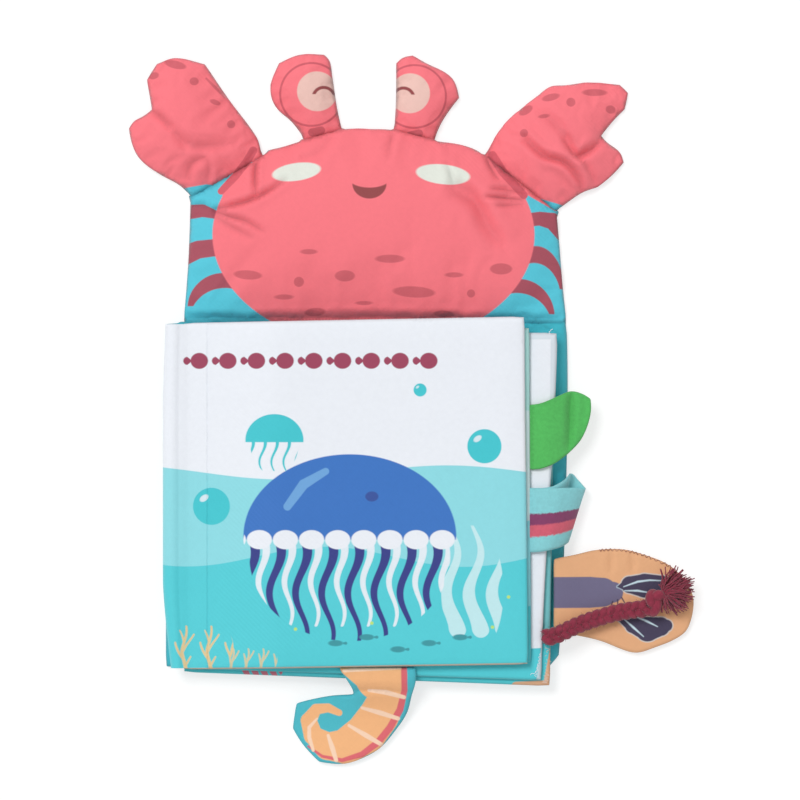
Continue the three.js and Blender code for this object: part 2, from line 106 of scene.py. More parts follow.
class Ink(Enum):
    """Dyes and printing inks, and one grey for painted shadow, as screen colours from 0 to 255."""

    CORAL = (250, 122, 132)
    SPOT = (203, 94, 104)
    RING = (192, 84, 96)
    LEG = (170, 82, 97)
    CHEEK = (228, 232, 222)
    MOUTH = (148, 72, 74)
    EYE = (238, 196, 186)
    WRIST = (214, 96, 108)
    BRIGHT_TEAL = (88, 202, 222)
    TEAL = (62, 180, 196)
    WHITE = (236, 240, 247)
    # Painted shadow that page 1 casts along the edge of page 2
    GREY_LINE = (212, 222, 230)
    LIGHT_AQUA = (142, 219, 228)
    DEEP_AQUA = (84, 206, 216)
    BUBBLE = (66, 198, 208)
    BLUE = (58, 116, 194)
    SKY = (120, 176, 226)
    NAVY = (52, 60, 132)
    MAROON = (156, 66, 92)
    SAND = (226, 200, 150)
    FOAM = (206, 238, 242)
    FISH = (60, 150, 160)
    LIME = (190, 226, 120)
    MINT = (176, 226, 222)
    PEACH = (226, 176, 140)
    HEM_TEAL = (120, 196, 200)
    LEAF = (88, 192, 98)
    RIBBON = (140, 213, 219)
    PURPLE = (136, 66, 106)
    PINK_RED = (216, 98, 118)
    ORANGE = (230, 174, 130)
    SLATE = (112, 107, 136)
    DARK = (68, 62, 86)
    STROKE = (202, 226, 236)
    ROPE = (160, 58, 80)
    ROPE_DARK = (112, 34, 54)
    THREAD_GREY = (190, 186, 190)
    SPIRAL = (248, 186, 132)
    BAND = (253, 216, 188)
    EDGE_PINK = (222, 84, 112)
    SPIRAL_TEAL = (78, 188, 202)
    STITCH = (150, 92, 84)
    PALE_THREAD = (226, 206, 194)
    FLOOR = (250, 250, 250)

    @property
    def linear(self) -> tuple[float, float, float, float]:
        """The ink as a linear colour with full alpha."""
        parts = [c / 255 for c in self.value]
        return (*(c / 12.92 if c <= 0.04045 else ((c + 0.055) / 1.055) ** 2.4 for c in parts), 1.0)


class Graph:
    """One node tree, with the few calls that every print and weave is drawn with."""

    def __init__(self, tree: bpy.types.NodeTree) -> None:
        """Keeps the tree that the calls add to."""
        self.tree = tree

    def node(self, kind: str, **settings: object) -> bpy.types.Node:
        """Adds a node and sets its plain settings.

        Args:
            kind: Blender's name of the node type.
            settings: Attributes to set on it.

        Returns:
            The new node.
        """
        made = self.tree.nodes.new(kind)
        for name, value in settings.items():
            setattr(made, name, value)
        return made

    def feed(self, target: Socket, value: Value) -> None:
        """Links a socket to target, or writes a constant on it."""
        if isinstance(value, bpy.types.NodeSocket):
            self.tree.links.new(value, target)
        else:
            target.default_value = value

    def calculate(self, kind: str, operation: str, values: Sequence[Value], **settings: object) -> Socket:
        """Adds a math node of either kind and feeds its inputs in order."""
        made = self.node(kind, operation=operation, **settings)
        for target, value in zip(made.inputs, values):
            self.feed(target, value)
        return next(out for out in made.outputs if out.enabled)

    def math(self, operation: str, *values: Value, clamp: bool = False) -> Socket:
        """Gives the result of a number calculation."""
        return self.calculate("ShaderNodeMath", operation, values, use_clamp=clamp)

    def vector(self, operation: str, *values: Value) -> Socket:
        """Gives the result of a vector calculation."""
        return self.calculate("ShaderNodeVectorMath", operation, values)

    def scaled(self, vector: Socket, factor: Value) -> Socket:
        """Gives a vector times a number."""
        made = self.node("ShaderNodeVectorMath", operation="SCALE")
        self.feed(made.inputs[0], vector)
        self.feed(made.inputs["Scale"], factor)
        return made.outputs[0]

    def mix(self, factor: Value, under: Value, over: Value) -> Socket:
        """Gives one colour painted over another by a mask."""
        made = self.node("ShaderNodeMix", data_type="RGBA")
        self.feed(made.inputs["Factor"], factor)
        self.feed(made.inputs[6], under)
        self.feed(made.inputs[7], over)
        return made.outputs[2]

    def noise(self, point: Socket, scale: float, detail: float, distortion: float = 0.0) -> Socket:
        """Gives noise from 0 to 1 at a point."""
        made = self.node("ShaderNodeTexNoise")
        self.feed(made.inputs["Vector"], point)
        made.inputs["Scale"].default_value = scale
        made.inputs["Detail"].default_value = detail
        made.inputs["Distortion"].default_value = distortion
        return made.outputs["Fac"]

    def group(self, tree: bpy.types.NodeTree, **inputs: Value) -> bpy.types.Node:
        """Places a node group and feeds its named inputs, with blanks written as underscores."""
        made = self.node("ShaderNodeGroup", node_tree=tree)
        for name, value in inputs.items():
            self.feed(made.inputs[name.replace("_", " ").capitalize()], value)
        return made


def new_group(
    name: str, inputs: dict[str, str], outputs: dict[str, str]
) -> tuple[Graph, dict[str, Socket], bpy.types.Node]:
    """Starts a shader node group.

    Args:
        name: The group's name.
        inputs: Each input's name and whether it is a Vector, Float or Color.
        outputs: The same for the outputs.

    Returns:
        The group's graph, its inputs by name and its output node.
    """
    tree = bpy.data.node_groups.new(name, "ShaderNodeTree")
    for direction, sockets in (("INPUT", inputs), ("OUTPUT", outputs)):
        for label, kind in sockets.items():
            tree.interface.new_socket(label, in_out=direction, socket_type=f"NodeSocket{kind}")
    graph = Graph(tree)
    entry = graph.node("NodeGroupInput")
    return graph, {s.name: s for s in entry.outputs if s.name}, graph.node("NodeGroupOutput")


class PrintTools:
    """The node groups that prints and cloths share, each built once."""

    def __init__(self) -> None:
        """Builds every group."""
        self.ellipse = self._ellipse()
        self.stroke = self._stroke()
        self.wave = self._wave()
        self.weave = self._weave()
        self.fleece = self._fleece()

    def _ellipse(self) -> bpy.types.NodeTree:
        """A soft-edged ellipse: Size holds its two radii, and Crisp how sharp its rim is."""
        inputs = {"Point": "Vector", "Centre": "Vector", "Size": "Vector", "Angle": "Float", "Crisp": "Float"}
        graph, entry, leave = new_group("Printed ellipse", inputs, {"Mask": "Float"})
        turned = graph.node("ShaderNodeVectorRotate", rotation_type="Z_AXIS")
        for name in ("Vector", "Center", "Angle"):
            graph.feed(turned.inputs[name], entry[{"Vector": "Point", "Center": "Centre"}.get(name, name)])
        away = graph.vector("SUBTRACT", turned.outputs[0], entry["Centre"])
        scaled = graph.vector("DIVIDE", away, entry["Size"])
        share = graph.calculate("ShaderNodeVectorMath", "LENGTH", [scaled])
        inside = graph.math("SUBTRACT", 1.0, share)
        graph.feed(leave.inputs["Mask"], graph.math("MULTIPLY_ADD", inside, entry["Crisp"], 0.5, clamp=True))
        return graph.tree

    def _stroke(self) -> bpy.types.NodeTree:
        """A brush stroke with round ends from Start over Along, whose Radius changes by Growth."""
        inputs = {"Point": "Vector", "Start": "Vector", "Along": "Vector", "Inverse": "Float"}
        inputs |= {"Radius": "Float", "Growth": "Float"}
        graph, entry, leave = new_group("Printed stroke", inputs, {"Mask": "Float"})
        away = graph.vector("SUBTRACT", entry["Point"], entry["Start"])
        along = graph.calculate("ShaderNodeVectorMath", "DOT_PRODUCT", [away, entry["Along"]])
        share = graph.math("MULTIPLY", along, entry["Inverse"], clamp=True)
        nearest = graph.scaled(entry["Along"], share)
        distance = graph.calculate("ShaderNodeVectorMath", "DISTANCE", [away, nearest])
        radius = graph.math("MULTIPLY_ADD", share, entry["Growth"], entry["Radius"])
        inside = graph.math("SUBTRACT", radius, distance)
        graph.feed(leave.inputs["Mask"], graph.math("ADD", inside, 0.5, clamp=True))
        return graph.tree

    def _wave(self) -> bpy.types.NodeTree:
        """Everything below a wavy line across the print."""
        inputs = {"Point": "Vector", "Height": "Float", "Swing": "Float", "Pitch": "Float", "Shift": "Float"}
        graph, entry, leave = new_group("Printed wave", inputs, {"Mask": "Float"})
        parts = graph.node("ShaderNodeSeparateXYZ")
        graph.feed(parts.inputs[0], entry["Point"])
        angle = graph.math("ADD", graph.math("DIVIDE", parts.outputs["X"], entry["Pitch"]), entry["Shift"])
        line = graph.math("MULTIPLY_ADD", graph.math("SINE", angle), entry["Swing"], entry["Height"])
        below = graph.math("SUBTRACT", parts.outputs["Y"], line)
        graph.feed(leave.inputs["Mask"], graph.math("ADD", below, 0.5, clamp=True))
        return graph.tree

    def _weave(self) -> bpy.types.NodeTree:
        """Plain weave: threads over and under each other, loose crumples, and a faint mottle."""
        inputs = {"Point": "Vector", "Threads": "Float", "Crumple": "Float"}
        graph, entry, leave = new_group("Woven cloth", inputs, {"Height": "Float", "Mottle": "Float"})
        parts = graph.node("ShaderNodeSeparateXYZ")
        graph.feed(parts.inputs[0], graph.scaled(entry["Point"], entry["Threads"]))
        warp = graph.math("SINE", parts.outputs["X"])
        weft = graph.math("SINE", parts.outputs["Y"])
        threads = graph.math("MULTIPLY", warp, weft)
        folds = graph.noise(entry["Point"], 95.0, 3.0, 0.6)
        soft = graph.noise(entry["Point"], 34.0, 2.0, 0.3)
        crumple = graph.math("MULTIPLY", graph.math("ADD", folds, soft), entry["Crumple"])
        graph.feed(leave.inputs["Height"], graph.math("MULTIPLY_ADD", threads, 0.07, crumple))
        graph.feed(leave.inputs["Mottle"], graph.noise(entry["Point"], 420.0, 4.0))
        return graph.tree

    def _fleece(self) -> bpy.types.NodeTree:
        """Brushed fleece: short tangled fibres and soft pills."""
        outputs = {"Height": "Float", "Mottle": "Float"}
        graph, entry, leave = new_group("Brushed fleece", {"Point": "Vector"}, outputs)
        fibres = graph.noise(entry["Point"], 2600.0, 6.0, 1.2)
        pills = graph.noise(entry["Point"], 620.0, 3.0, 0.5)
        graph.feed(leave.inputs["Height"], graph.math("MULTIPLY_ADD", pills, 0.8, fibres))
        graph.feed(leave.inputs["Mottle"], pills)
        return graph.tree


class Print:
    """A print drawn over a cloth's ground colour, in photograph pixels."""

    bob_radians: float = 2.1

    def __init__(self, graph: Graph, tools: PrintTools, point: Socket, ground: Ink) -> None:
        """Starts with the plain ground.

        Args:
            graph: The material's node tree.
            tools: The shared groups.
            point: Object coordinates in metres.
            ground: The cloth's own colour.
        """
        self.graph = graph
        self.tools = tools
        self.metres = point
        scale = (PIXELS_PER_METRE, -PIXELS_PER_METRE, 0.0)
        self.point = graph.vector("MULTIPLY_ADD", point, scale, (*ORIGIN_PX, 0.0))
        self.colour: Value = ground.linear

    def ellipse(self, px: float, py: float, width: float, height: float, angle: float = 0.0) -> Socket:
        """Masks an ellipse.

        Args:
            px: Its centre's column.
            py: Its centre's row.
            width: Full width.
            height: Full height.
            angle: Its turn in degrees, clockwise in the picture.

        Returns:
            The mask.
        """
        size = (width / 2, height / 2, 1.0)
        turn = -math.radians(angle)
        made = self.graph.group(
            self.tools.ellipse,
            point=self.point,
            centre=(px, py, 0.0),
            size=size,
            angle=turn,
            crisp=min(size[:2]),
        )
        return made.outputs["Mask"]

    def stroke(self, *places: tuple[float, float, float]) -> Socket:
        """Masks a brush stroke through (column, row, width) places."""
        masks = []
        for (x0, y0, w0), (x1, y1, w1) in zip(places, places[1:]):
            along = (x1 - x0, y1 - y0, 0.0)
            inverse = 1.0 / max(along[0] ** 2 + along[1] ** 2, 1e-6)
            made = self.graph.group(
                self.tools.stroke,
                point=self.point,
                start=(x0, y0, 0.0),
                along=along,
                inverse=inverse,
                radius=w0 / 2,
                growth=(w1 - w0) / 2,
            )
            masks.append(made.outputs["Mask"])
        return self.either(*masks)

    def wave(self, height: float, swing: float, pitch: float, shift: float) -> Socket:
        """Masks what lies below a wavy line."""
        made = self.graph.group(
            self.tools.wave, point=self.point, height=height, swing=swing, pitch=pitch, shift=shift
        )
        return made.outputs["Mask"]

    def either(self, *masks: Socket) -> Socket:
        """Joins masks."""
        joined = masks[0]
        for mask in masks[1:]:
            joined = self.graph.math("MAXIMUM", joined, mask)
        return joined

    def both(self, first: Socket, second: Socket) -> Socket:
        """Keeps what two masks share."""
        return self.graph.math("MULTIPLY", first, second)

    def without(self, mask: Socket, cut: Socket) -> Socket:
        """Takes one mask out of another."""
        return self.both(mask, self.graph.math("SUBTRACT", 1.0, cut))

    def crescent(self, outer: Sequence[float], inner: Sequence[float], lowest: float) -> Socket:
        """Masks the part of one ellipse that lies outside another and above a row."""
        ring = self.without(self.ellipse(*outer), self.ellipse(*inner))
        return self.without(ring, self.wave(lowest, 0.0, 1.0, 0.0))

    def row(
        self, start: float, pitch: float, sway: float = 0.0, wave: float = 20.0, bob: float = 0.0
    ) -> "Print":
        """Gives the same print with its columns repeated, so that one motif becomes a row.

        Args:
            start: The first column of the motif's own space.
            pitch: How far apart the motifs stand.
            sway: How far the columns swing from side to side down the print.
            wave: How many pixel rows that swing takes for one radian.
            bob: How far the motifs stand above or below their row.

        Returns:
            The print to take the motif's masks from.
        """
        graph = self.graph
        parts = graph.node("ShaderNodeSeparateXYZ")
        graph.feed(parts.inputs[0], self.point)
        column: Value = parts.outputs["X"]
        if sway:
            bend = graph.math("SINE", graph.math("DIVIDE", parts.outputs["Y"], wave))
            column = graph.math("MULTIPLY_ADD", bend, sway, column)
        joined = graph.node("ShaderNodeCombineXYZ")
        graph.feed(joined.inputs["X"], graph.math("WRAP", column, start + pitch, start))
        line: Value = parts.outputs["Y"]
        if bob:
            index = graph.math("FLOOR", graph.math("DIVIDE", graph.math("SUBTRACT", column, start), pitch))
            rise = graph.math("SINE", graph.math("MULTIPLY", index, self.bob_radians))
            line = graph.math("MULTIPLY_ADD", rise, bob, line)
        graph.feed(joined.inputs["Y"], line)
        made = copy.copy(self)
        made.point = joined.outputs[0]
        return made

    def paint(self, ink: Ink, mask: Socket, strength: float = 1.0) -> None:
        """Lays an ink over the print where the mask says."""
        factor = mask if strength >= 1 else self.graph.math("MULTIPLY", mask, strength)
        self.colour = self.graph.mix(factor, self.colour, ink.linear)


Painter = Callable[[Print], None]


class Hand(Enum):
    """How a cloth feels: which shared texture it takes."""

    WOVEN = "woven"
    FLEECE = "fleece"


@dataclass(frozen=True)
class Cloth:
    """A finish: ground ink, hand, thread density and how crumpled it lies."""

    name: str
    ground: Ink
    hand: Hand = Hand.WOVEN
    roughness: float = 0.72
    sheen: float = 0.18
    threads_per_metre: float = 2600.0
    crumple: float = 0.5
    depth: float = 0.5 * MM
    mottle: float = 0.06
    # How much the painted shade darkens the colour in the valleys at seams and in folds, where the seam line
    # also shows dark
    seam_and_fold_shade_strength: float = 0.22
    sheen_roughness: float = 0.5
    specular: float = 0.25
    bump_strength: float = 0.6
    mottle_level: float = 0.35

    def dye(self, tools: PrintTools, painter: Painter | None = None) -> bpy.types.Material:
        """Builds the material.

        Args:
            tools: The shared node groups.
            painter: Draws the print, if the cloth has one.

        Returns:
            The material.
        """
        material = bpy.data.materials.new(self.name)
        material.use_nodes = True
        graph = Graph(material.node_tree)
        shader = material.node_tree.nodes["Principled BSDF"]
        point = graph.node("ShaderNodeTexCoord").outputs["Object"]
        art = Print(graph, tools, point, self.ground)
        if painter:
            painter(art)
        if self.hand is Hand.WOVEN:
            texture = graph.group(
                tools.weave, point=point, threads=self.threads_per_metre, crumple=self.crumple
            )
        else:
            texture = graph.group(tools.fleece, point=point)
        uneven = graph.math("SUBTRACT", texture.outputs["Mottle"], self.mottle_level)
        shade = graph.math("MULTIPLY", uneven, self.mottle)
        # Painted shade: darker along seams and in folds, where the valleys lie in shade and the seam line
        # shows dark, over the random mottle
        seam = graph.node("ShaderNodeAttribute", attribute_name="seam_and_fold_shade").outputs["Fac"]
        shade = graph.math("MULTIPLY_ADD", seam, self.seam_and_fold_shade_strength, shade)
        # Darkens the colour by the mottle and by the painted shade of seams and folds
        mottled_and_shaded = graph.node("ShaderNodeHueSaturation")
        graph.feed(mottled_and_shaded.inputs["Color"], art.colour)
        graph.feed(mottled_and_shaded.inputs["Value"], graph.math("SUBTRACT", 1.0, shade))
        graph.feed(shader.inputs["Base Color"], mottled_and_shaded.outputs["Color"])
        bump = graph.node("ShaderNodeBump")
        bump.inputs["Strength"].default_value = self.bump_strength
        bump.inputs["Distance"].default_value = self.depth
        graph.feed(bump.inputs["Height"], texture.outputs["Height"])
        graph.feed(shader.inputs["Normal"], bump.outputs["Normal"])
        values = {
            "Roughness": self.roughness,
            "Sheen Weight": self.sheen,
            "Sheen Roughness": self.sheen_roughness,
            "Specular IOR Level": self.specular,
        }
        for label, value in values.items():
            shader.inputs[label].default_value = value
        return material


def unit(vector: np.ndarray) -> np.ndarray:
    """Gives a vector's direction at length 1."""
    return vector / np.linalg.norm(vector)


def left_of(ahead: np.ndarray) -> np.ndarray:
    """Gives the directions, at length 1, a quarter turn to the left of flat ones."""
    return np.stack([-ahead[:, 1], ahead[:, 0]], 1) / np.hypot(*ahead.T)[:, None]


def length_of(line: np.ndarray) -> float:
    """Gives the length of a flat line through points."""
    return float(np.hypot(*np.diff(line, axis=0).T).sum())


def beside(line: np.ndarray, xy: np.ndarray) -> tuple[np.ndarray, np.ndarray, np.ndarray]:
    """Finds where points lie beside a line.

    Args:
        line: The line's points.
        xy: The points to place.

    Returns:
        Each point's distance from the line, its share of the way along it and its side, 1 or -1.
    """
    best = np.full(len(xy), np.inf)
    share = np.zeros(len(xy))
    side = np.zeros(len(xy))
    spans = len(line) - 1
    for i in range(spans):
        along = line[i + 1] - line[i]
        t = np.clip((xy - line[i]) @ along / (along @ along), 0, 1)
        away = xy - line[i] - t[:, None] * along
        distance = np.hypot(away[:, 0], away[:, 1])
        nearer = distance < best
        best = np.where(nearer, distance, best)
        share = np.where(nearer, (i + t) / spans, share)
        side = np.where(nearer, np.sign(along[0] * away[:, 1] - along[1] * away[:, 0]), side)
    return best, share, side


# A fold's ridge, in widths of its valley: how far beside it and how wide, and its share on one side only
LIP_PLACE = 1.9
LIP_WIDTH = 1.2
LIP_LEAN = 0.3
# A fold as deep and as narrow as this gets the full painted shade, spread over this share of its width
FULL_SHADE_DEPTH = 2.2 * MM
FULL_SHADE_WIDTH = 1.6 * MM
SHADE_SPREAD = 0.6


@dataclass(frozen=True)
class Crease:
    """A fold line on a stuffed piece, through photograph pixels, with a ridge beside its valley."""

    places: tuple[Point, ...]
    depth: float
    width: float
    ridge: float = 0.45

    def lower(self, xy: np.ndarray) -> np.ndarray:
        """Gives how far each point sinks.

        Args:
            xy: Points in metres.

        Returns:
            The change of height of each point, negative in the valley.
        """
        best, share, side = beside(self.line, xy)
        valley = np.exp(-((best / self.width) ** 2))
        lip = np.exp(-(((best - LIP_PLACE * self.width) / (LIP_WIDTH * self.width)) ** 2))
        lip = lip * (1 - LIP_LEAN + LIP_LEAN * side)
        return self.depth * self._fade(share) * (self.ridge * lip - valley)

    def shade(self, xy: np.ndarray) -> np.ndarray:
        """Gives the painted shade at each point by how deep in the fold it lies, from 0 to 1."""
        best, share, _ = beside(self.line, xy)
        darkest = min(self.depth / FULL_SHADE_DEPTH, 1.0) * min(FULL_SHADE_WIDTH / self.width, 1.0)
        return np.exp(-((best / (SHADE_SPREAD * self.width)) ** 2)) * self._fade(share) * darkest

    @property
    def line(self) -> np.ndarray:
        """The fold's smooth line in metres."""
        return smooth_line([from_photo(*place) for place in self.places], 8 * (len(self.places) - 1))

    @staticmethod
    def _fade(share: np.ndarray) -> np.ndarray:
        """Gives the fold's strength along its length."""
        return np.clip(np.sin(np.pi * np.clip(share * 0.86 + 0.12, 0, 1)), 0, 1) ** 0.7


# A wall's normal rises by less than this, and its area in square metres is more than this
UPRIGHT = 1e-3
SMALLEST_WALL = 1e-12


def outline_of(node: bpy.types.Object) -> np.ndarray:
    """Reads a panel's outline from the upright walls of its CAD solid.

    Args:
        node: The CAD node's object.

    Returns:
        The outline's corners in metres, in order.
    """
    mesh = node.data
    near: dict[tuple[int, int], set[tuple[int, int]]] = {}
    key = {v.index: tuple(round(c * MICRONS_PER_METRE) for c in v.co.xy) for v in mesh.vertices}
    for face in mesh.polygons:
        if abs(face.normal.z) > UPRIGHT or face.area < SMALLEST_WALL:
            continue
        for a, b in face.edge_keys:
            if key[a] != key[b]:
                near.setdefault(key[a], set()).add(key[b])
                near.setdefault(key[b], set()).add(key[a])
    start = min(near)
    loop, last = [start], None
    while True:
        ahead = [k for k in near[loop[-1]] if k != last and k not in loop[1:]]
        ahead = [k for k in ahead if k != start or len(loop) > 2]
        if not ahead:
            break
        last = loop[-1]
        step = min(ahead, key=lambda k: (k[0] - last[0]) ** 2 + (k[1] - last[1]) ** 2)
        if step == start:
            break
        loop.append(step)
    corners = np.array(loop) * MICRON
    return corners if doubled_area(corners) > 0 else corners[::-1]


def doubled_area(outline: np.ndarray) -> float:
    """Gives twice the area inside an outline, negative when it runs clockwise."""
    turned = np.roll(outline, -1, 0)
    return float(np.sum(outline[:, 0] * turned[:, 1] - outline[:, 1] * turned[:, 0]))


# How near a sharp corner stays to its place when the outline is smoothed
SHARP_SHARE = 0.65


def rounded(corners: np.ndarray, step: float, corner_deg: float = 34.0, soften: int = 2) -> np.ndarray:
    """Draws a smooth outline through corners, keeping sharp turns almost sharp.

    Args:
        corners: The outline's corners.
        step: The spacing of the points given back.
        corner_deg: A turn above this stays a corner.
        soften: How many times the corners are trimmed.

    Returns:
        Points along the smooth outline.
    """
    count = len(corners)
    ahead = np.roll(corners, -1, 0) - corners
    behind = np.roll(ahead, 1, 0)
    sideways = behind[:, 0] * ahead[:, 1] - behind[:, 1] * ahead[:, 0]
    turn = np.abs(np.arctan2(sideways, (behind * ahead).sum(1)))
    sharp = turn > math.radians(corner_deg)
    points, kept = [], {}
    for i in range(count):
        j = (i + 1) % count
        if sharp[i]:
            kept[len(points)] = corners[i]
        length = float(np.linalg.norm(ahead[i]))
        leave = unit(ahead[i]) if sharp[i] else unit(unit(ahead[i]) + unit(behind[i]))
        arrive = unit(ahead[i]) if sharp[j] else unit(unit(ahead[j]) + unit(ahead[i]))
        for t in np.linspace(0, 1, max(2, round(length / step)), endpoint=False):
            h = 2 * t**3 - 3 * t**2 + 1, t**3 - 2 * t**2 + t, -2 * t**3 + 3 * t**2, t**3 - t**2
            place = h[0] * corners[i] + h[1] * length * leave
            points.append(place + h[2] * corners[j] + h[3] * length * arrive)
    line = np.array(points)
    for _ in range(soften):
        line = (np.roll(line, 1, 0) + 2 * line + np.roll(line, -1, 0)) / 4
    for i, corner in kept.items():
        line[i] = SHARP_SHARE * corner + (1 - SHARP_SHARE) * line[i]
    return line


class Pattern:
    """A flat cutting pattern: an outline filled with an even triangle mesh.

    Rows of points beside a fold stand fold_step apart along it and fold_row_mm apart across it, and other
    points keep fold_clear from them.
    """

    fold_step: float = 0.9 * MM
    fold_row_mm: float = 0.75
    fold_clear: float = 0.8 * MM
    band_clear: float = 0.93
    crown_rounds: int = 3000

    def __init__(
        self,
        outline: np.ndarray,
        spacing: float,
        bands: Sequence[float] = (),
        folds: Sequence[np.ndarray] = (),
    ) -> None:
        """Fills the outline.

        Args:
            outline: Points along the edge, counterclockwise.
            spacing: The mesh's edge length.
            bands: How far in extra rows of points run beside the edge.
            folds: Lines that get rows of points of their own.
        """
        self.spacing = spacing
        self.rim = len(outline)
        along = np.roll(outline, -1, 0) - np.roll(outline, 1, 0)
        inward = left_of(along)
        rows = [self._within(outline + inward * band, outline, self.band_clear * band) for band in bands]
        clear = 0.6 * spacing + (bands[-1] - 0.2 * spacing if bands else 0.0)
        within = self._inner(outline, spacing, clear)
        for fold in folds:
            within = self._lined(within, fold, outline, clear)
        inner = np.vstack([*rows, within])
        points = [Vector(p) for p in np.vstack([outline, inner])]
        edges = [(i, (i + 1) % self.rim) for i in range(self.rim)]
        placed, _, faces, *_ = delaunay_2d_cdt(points, edges, [], 1, 1e-9)
        used = np.arange(len(placed)) < self.rim
        used[[i for face in faces for i in face]] = True
        order = np.cumsum(used) - 1
        self.xy = np.array([tuple(p) for p in placed])[used]
        self.faces = [tuple(int(order[i]) for i in face) for face in faces]
        sides = {tuple(sorted((f[i], f[i - 1]))) for f in self.faces for i in range(len(f))}
        self.edges = np.array(sorted(sides))
        steps = self.xy[:, None] - self.xy[None, : self.rim]
        distances = np.hypot(steps[..., 0], steps[..., 1])
        self.nearest_rim = distances.argmin(1)
        self.to_rim = distances.min(1)
        self.inward = inward[self.nearest_rim]

    @staticmethod
    def _inner(outline: np.ndarray, spacing: float, clear: float) -> np.ndarray:
        """Gives a honeycomb of points inside the outline, clear of its edge."""
        low, high = outline.min(0), outline.max(0)
        row = spacing * math.sqrt(3) / 2
        places = []
        for j, y in enumerate(np.arange(low[1], high[1], row)):
            for x in np.arange(low[0] + (j % 2) * spacing / 2, high[0], spacing):
                places.append((x, y))
        return Pattern._within(np.array(places), outline, clear)

    @staticmethod
    def _within(places: np.ndarray, outline: np.ndarray, clear: float) -> np.ndarray:
        """Keeps the points inside the outline that are clear of its edge."""
        a, b = outline, np.roll(outline, -1, 0)
        x, y = places[:, 0, None], places[:, 1, None]
        crosses = (a[:, 1] > y) != (b[:, 1] > y)
        rise = np.where(b[:, 1] == a[:, 1], 1e-12, b[:, 1] - a[:, 1])
        hit = crosses & (x < (b[:, 0] - a[:, 0]) * (y - a[:, 1]) / rise + a[:, 0])
        away = np.hypot(x - a[:, 0], y - a[:, 1]).min(1)
        return places[(hit.sum(1) % 2 == 1) & (away > clear)]

    @staticmethod
    def _lined(within: np.ndarray, fold: np.ndarray, outline: np.ndarray, clear: float) -> np.ndarray:
        """Puts close rows of points along a fold in place of the points near it."""
        line = smooth_line(fold, max(2, round(length_of(fold) / Pattern.fold_step)))
        across = left_of(np.gradient(line, axis=0))
        rows = np.vstack([line + across * k * Pattern.fold_row_mm * MM for k in (-1, 0, 1)])
        rows = Pattern._within(rows, outline, clear)
        if not len(rows):
            return within
        apart = np.hypot(*(within[:, None] - rows[None]).transpose(2, 0, 1)).min(1)
        return np.vstack([within[apart > Pattern.fold_clear], rows])

    def averaged(self, values: np.ndarray) -> np.ndarray:
        """Gives each point's mean over its neighbours."""
        a, b = self.edges.T
        total = np.bincount(a, values[b], len(values)) + np.bincount(b, values[a], len(values))
        count = np.bincount(a, minlength=len(values)) + np.bincount(b, minlength=len(values))
        return total / np.maximum(count, 1)

    def relaxed(self, values: np.ndarray, rounds: int) -> np.ndarray:
        """Smooths values inside the outline, with the rim held."""
        for _ in range(rounds):
            values = np.where(np.arange(len(values)) < self.rim, values, self.averaged(values))
        return values

    def crown(self) -> np.ndarray:
        """Gives the blown-up form of the outline, from 0 at the rim to 1 at its highest point."""
        height = np.zeros(len(self.xy))
        inside = np.arange(len(height)) >= self.rim
        for _ in range(self.crown_rounds):
            height = np.where(inside, self.averaged(height) + 1.0, 0.0)
        return height / height.max()

    def puckers(self, pitch: float, reach: float, seed: int) -> np.ndarray:
        """Gives gathers that run in from the seam.

        Args:
            pitch: Their spacing along the seam.
            reach: How far in they fade.
            seed: Sets which of them are deep.

        Returns:
            A wave from -1 to 1 at each point.
        """
        dice = np.random.default_rng(seed)
        rim = self.xy[: self.rim]
        step = np.hypot(*(np.roll(rim, -1, 0) - rim).T)
        place = np.cumsum(step)
        turns = max(1, round(place[-1] / pitch))
        angle = 2 * np.pi * place / place[-1]
        wave = np.zeros(self.rim)
        for k in range(max(1, turns // 2), turns + turns // 2 + 1):
            wave += dice.normal() * np.sin(k * angle + dice.uniform(0, 2 * np.pi))
        wave /= np.abs(wave).max()
        fade = np.exp(-self.to_rim / reach) * np.clip(self.to_rim / (0.35 * reach), 0, 1)
        return wave[self.nearest_rim] * fade


def surface_heights(node: bpy.types.Object, xy: np.ndarray, upper: bool) -> np.ndarray:
    """Reads the height of a CAD solid's upper or lower face at each point.

    Args:
        node: The CAD node's object.
        xy: Points in metres.
        upper: Whether its upper face is read.

    Returns:
        The height at each point, and at the nearest face where a point misses the solid.
    """
    mesh = node.data
    tree = BVHTree.FromPolygons([v.co for v in mesh.vertices], [tuple(p.vertices) for p in mesh.polygons])
    side = 1.0 if upper else -1.0
    heights = []
    for x, y in xy:
        hit = tree.ray_cast(Vector((x, y, side)), Vector((0, 0, -side)))[0]
        if hit is None:
            hit = tree.find_nearest(Vector((x, y, 0.01)))[0]
        heights.append(hit.z)
    return np.array(heights)


def make_object(
    name: str, points: Iterable, faces: Iterable, materials: Sequence[bpy.types.Material]
) -> bpy.types.Object:
    """Makes a smooth-shaded mesh object in the scene.

    Args:
        name: The piece's name.
        points: Its vertices in metres.
        faces: Its faces.
        materials: Its material slots.

    Returns:
        The object.
    """
    mesh = bpy.data.meshes.new(name)
    mesh.from_pydata([tuple(map(float, p)) for p in points], [], [tuple(map(int, f)) for f in faces])
    mesh.validate()
    mesh.shade_smooth()
    for material in materials:
        mesh.materials.append(material)
    made = bpy.data.objects.new(name, mesh)
    bpy.context.scene.collection.objects.link(made)
    return made


@dataclass(frozen=True)
class Bend:
    """Where a soft piece crosses from a neighbouring body to its own."""

    neighbour: str
    start: Sequence[float]
    end: Sequence[float]


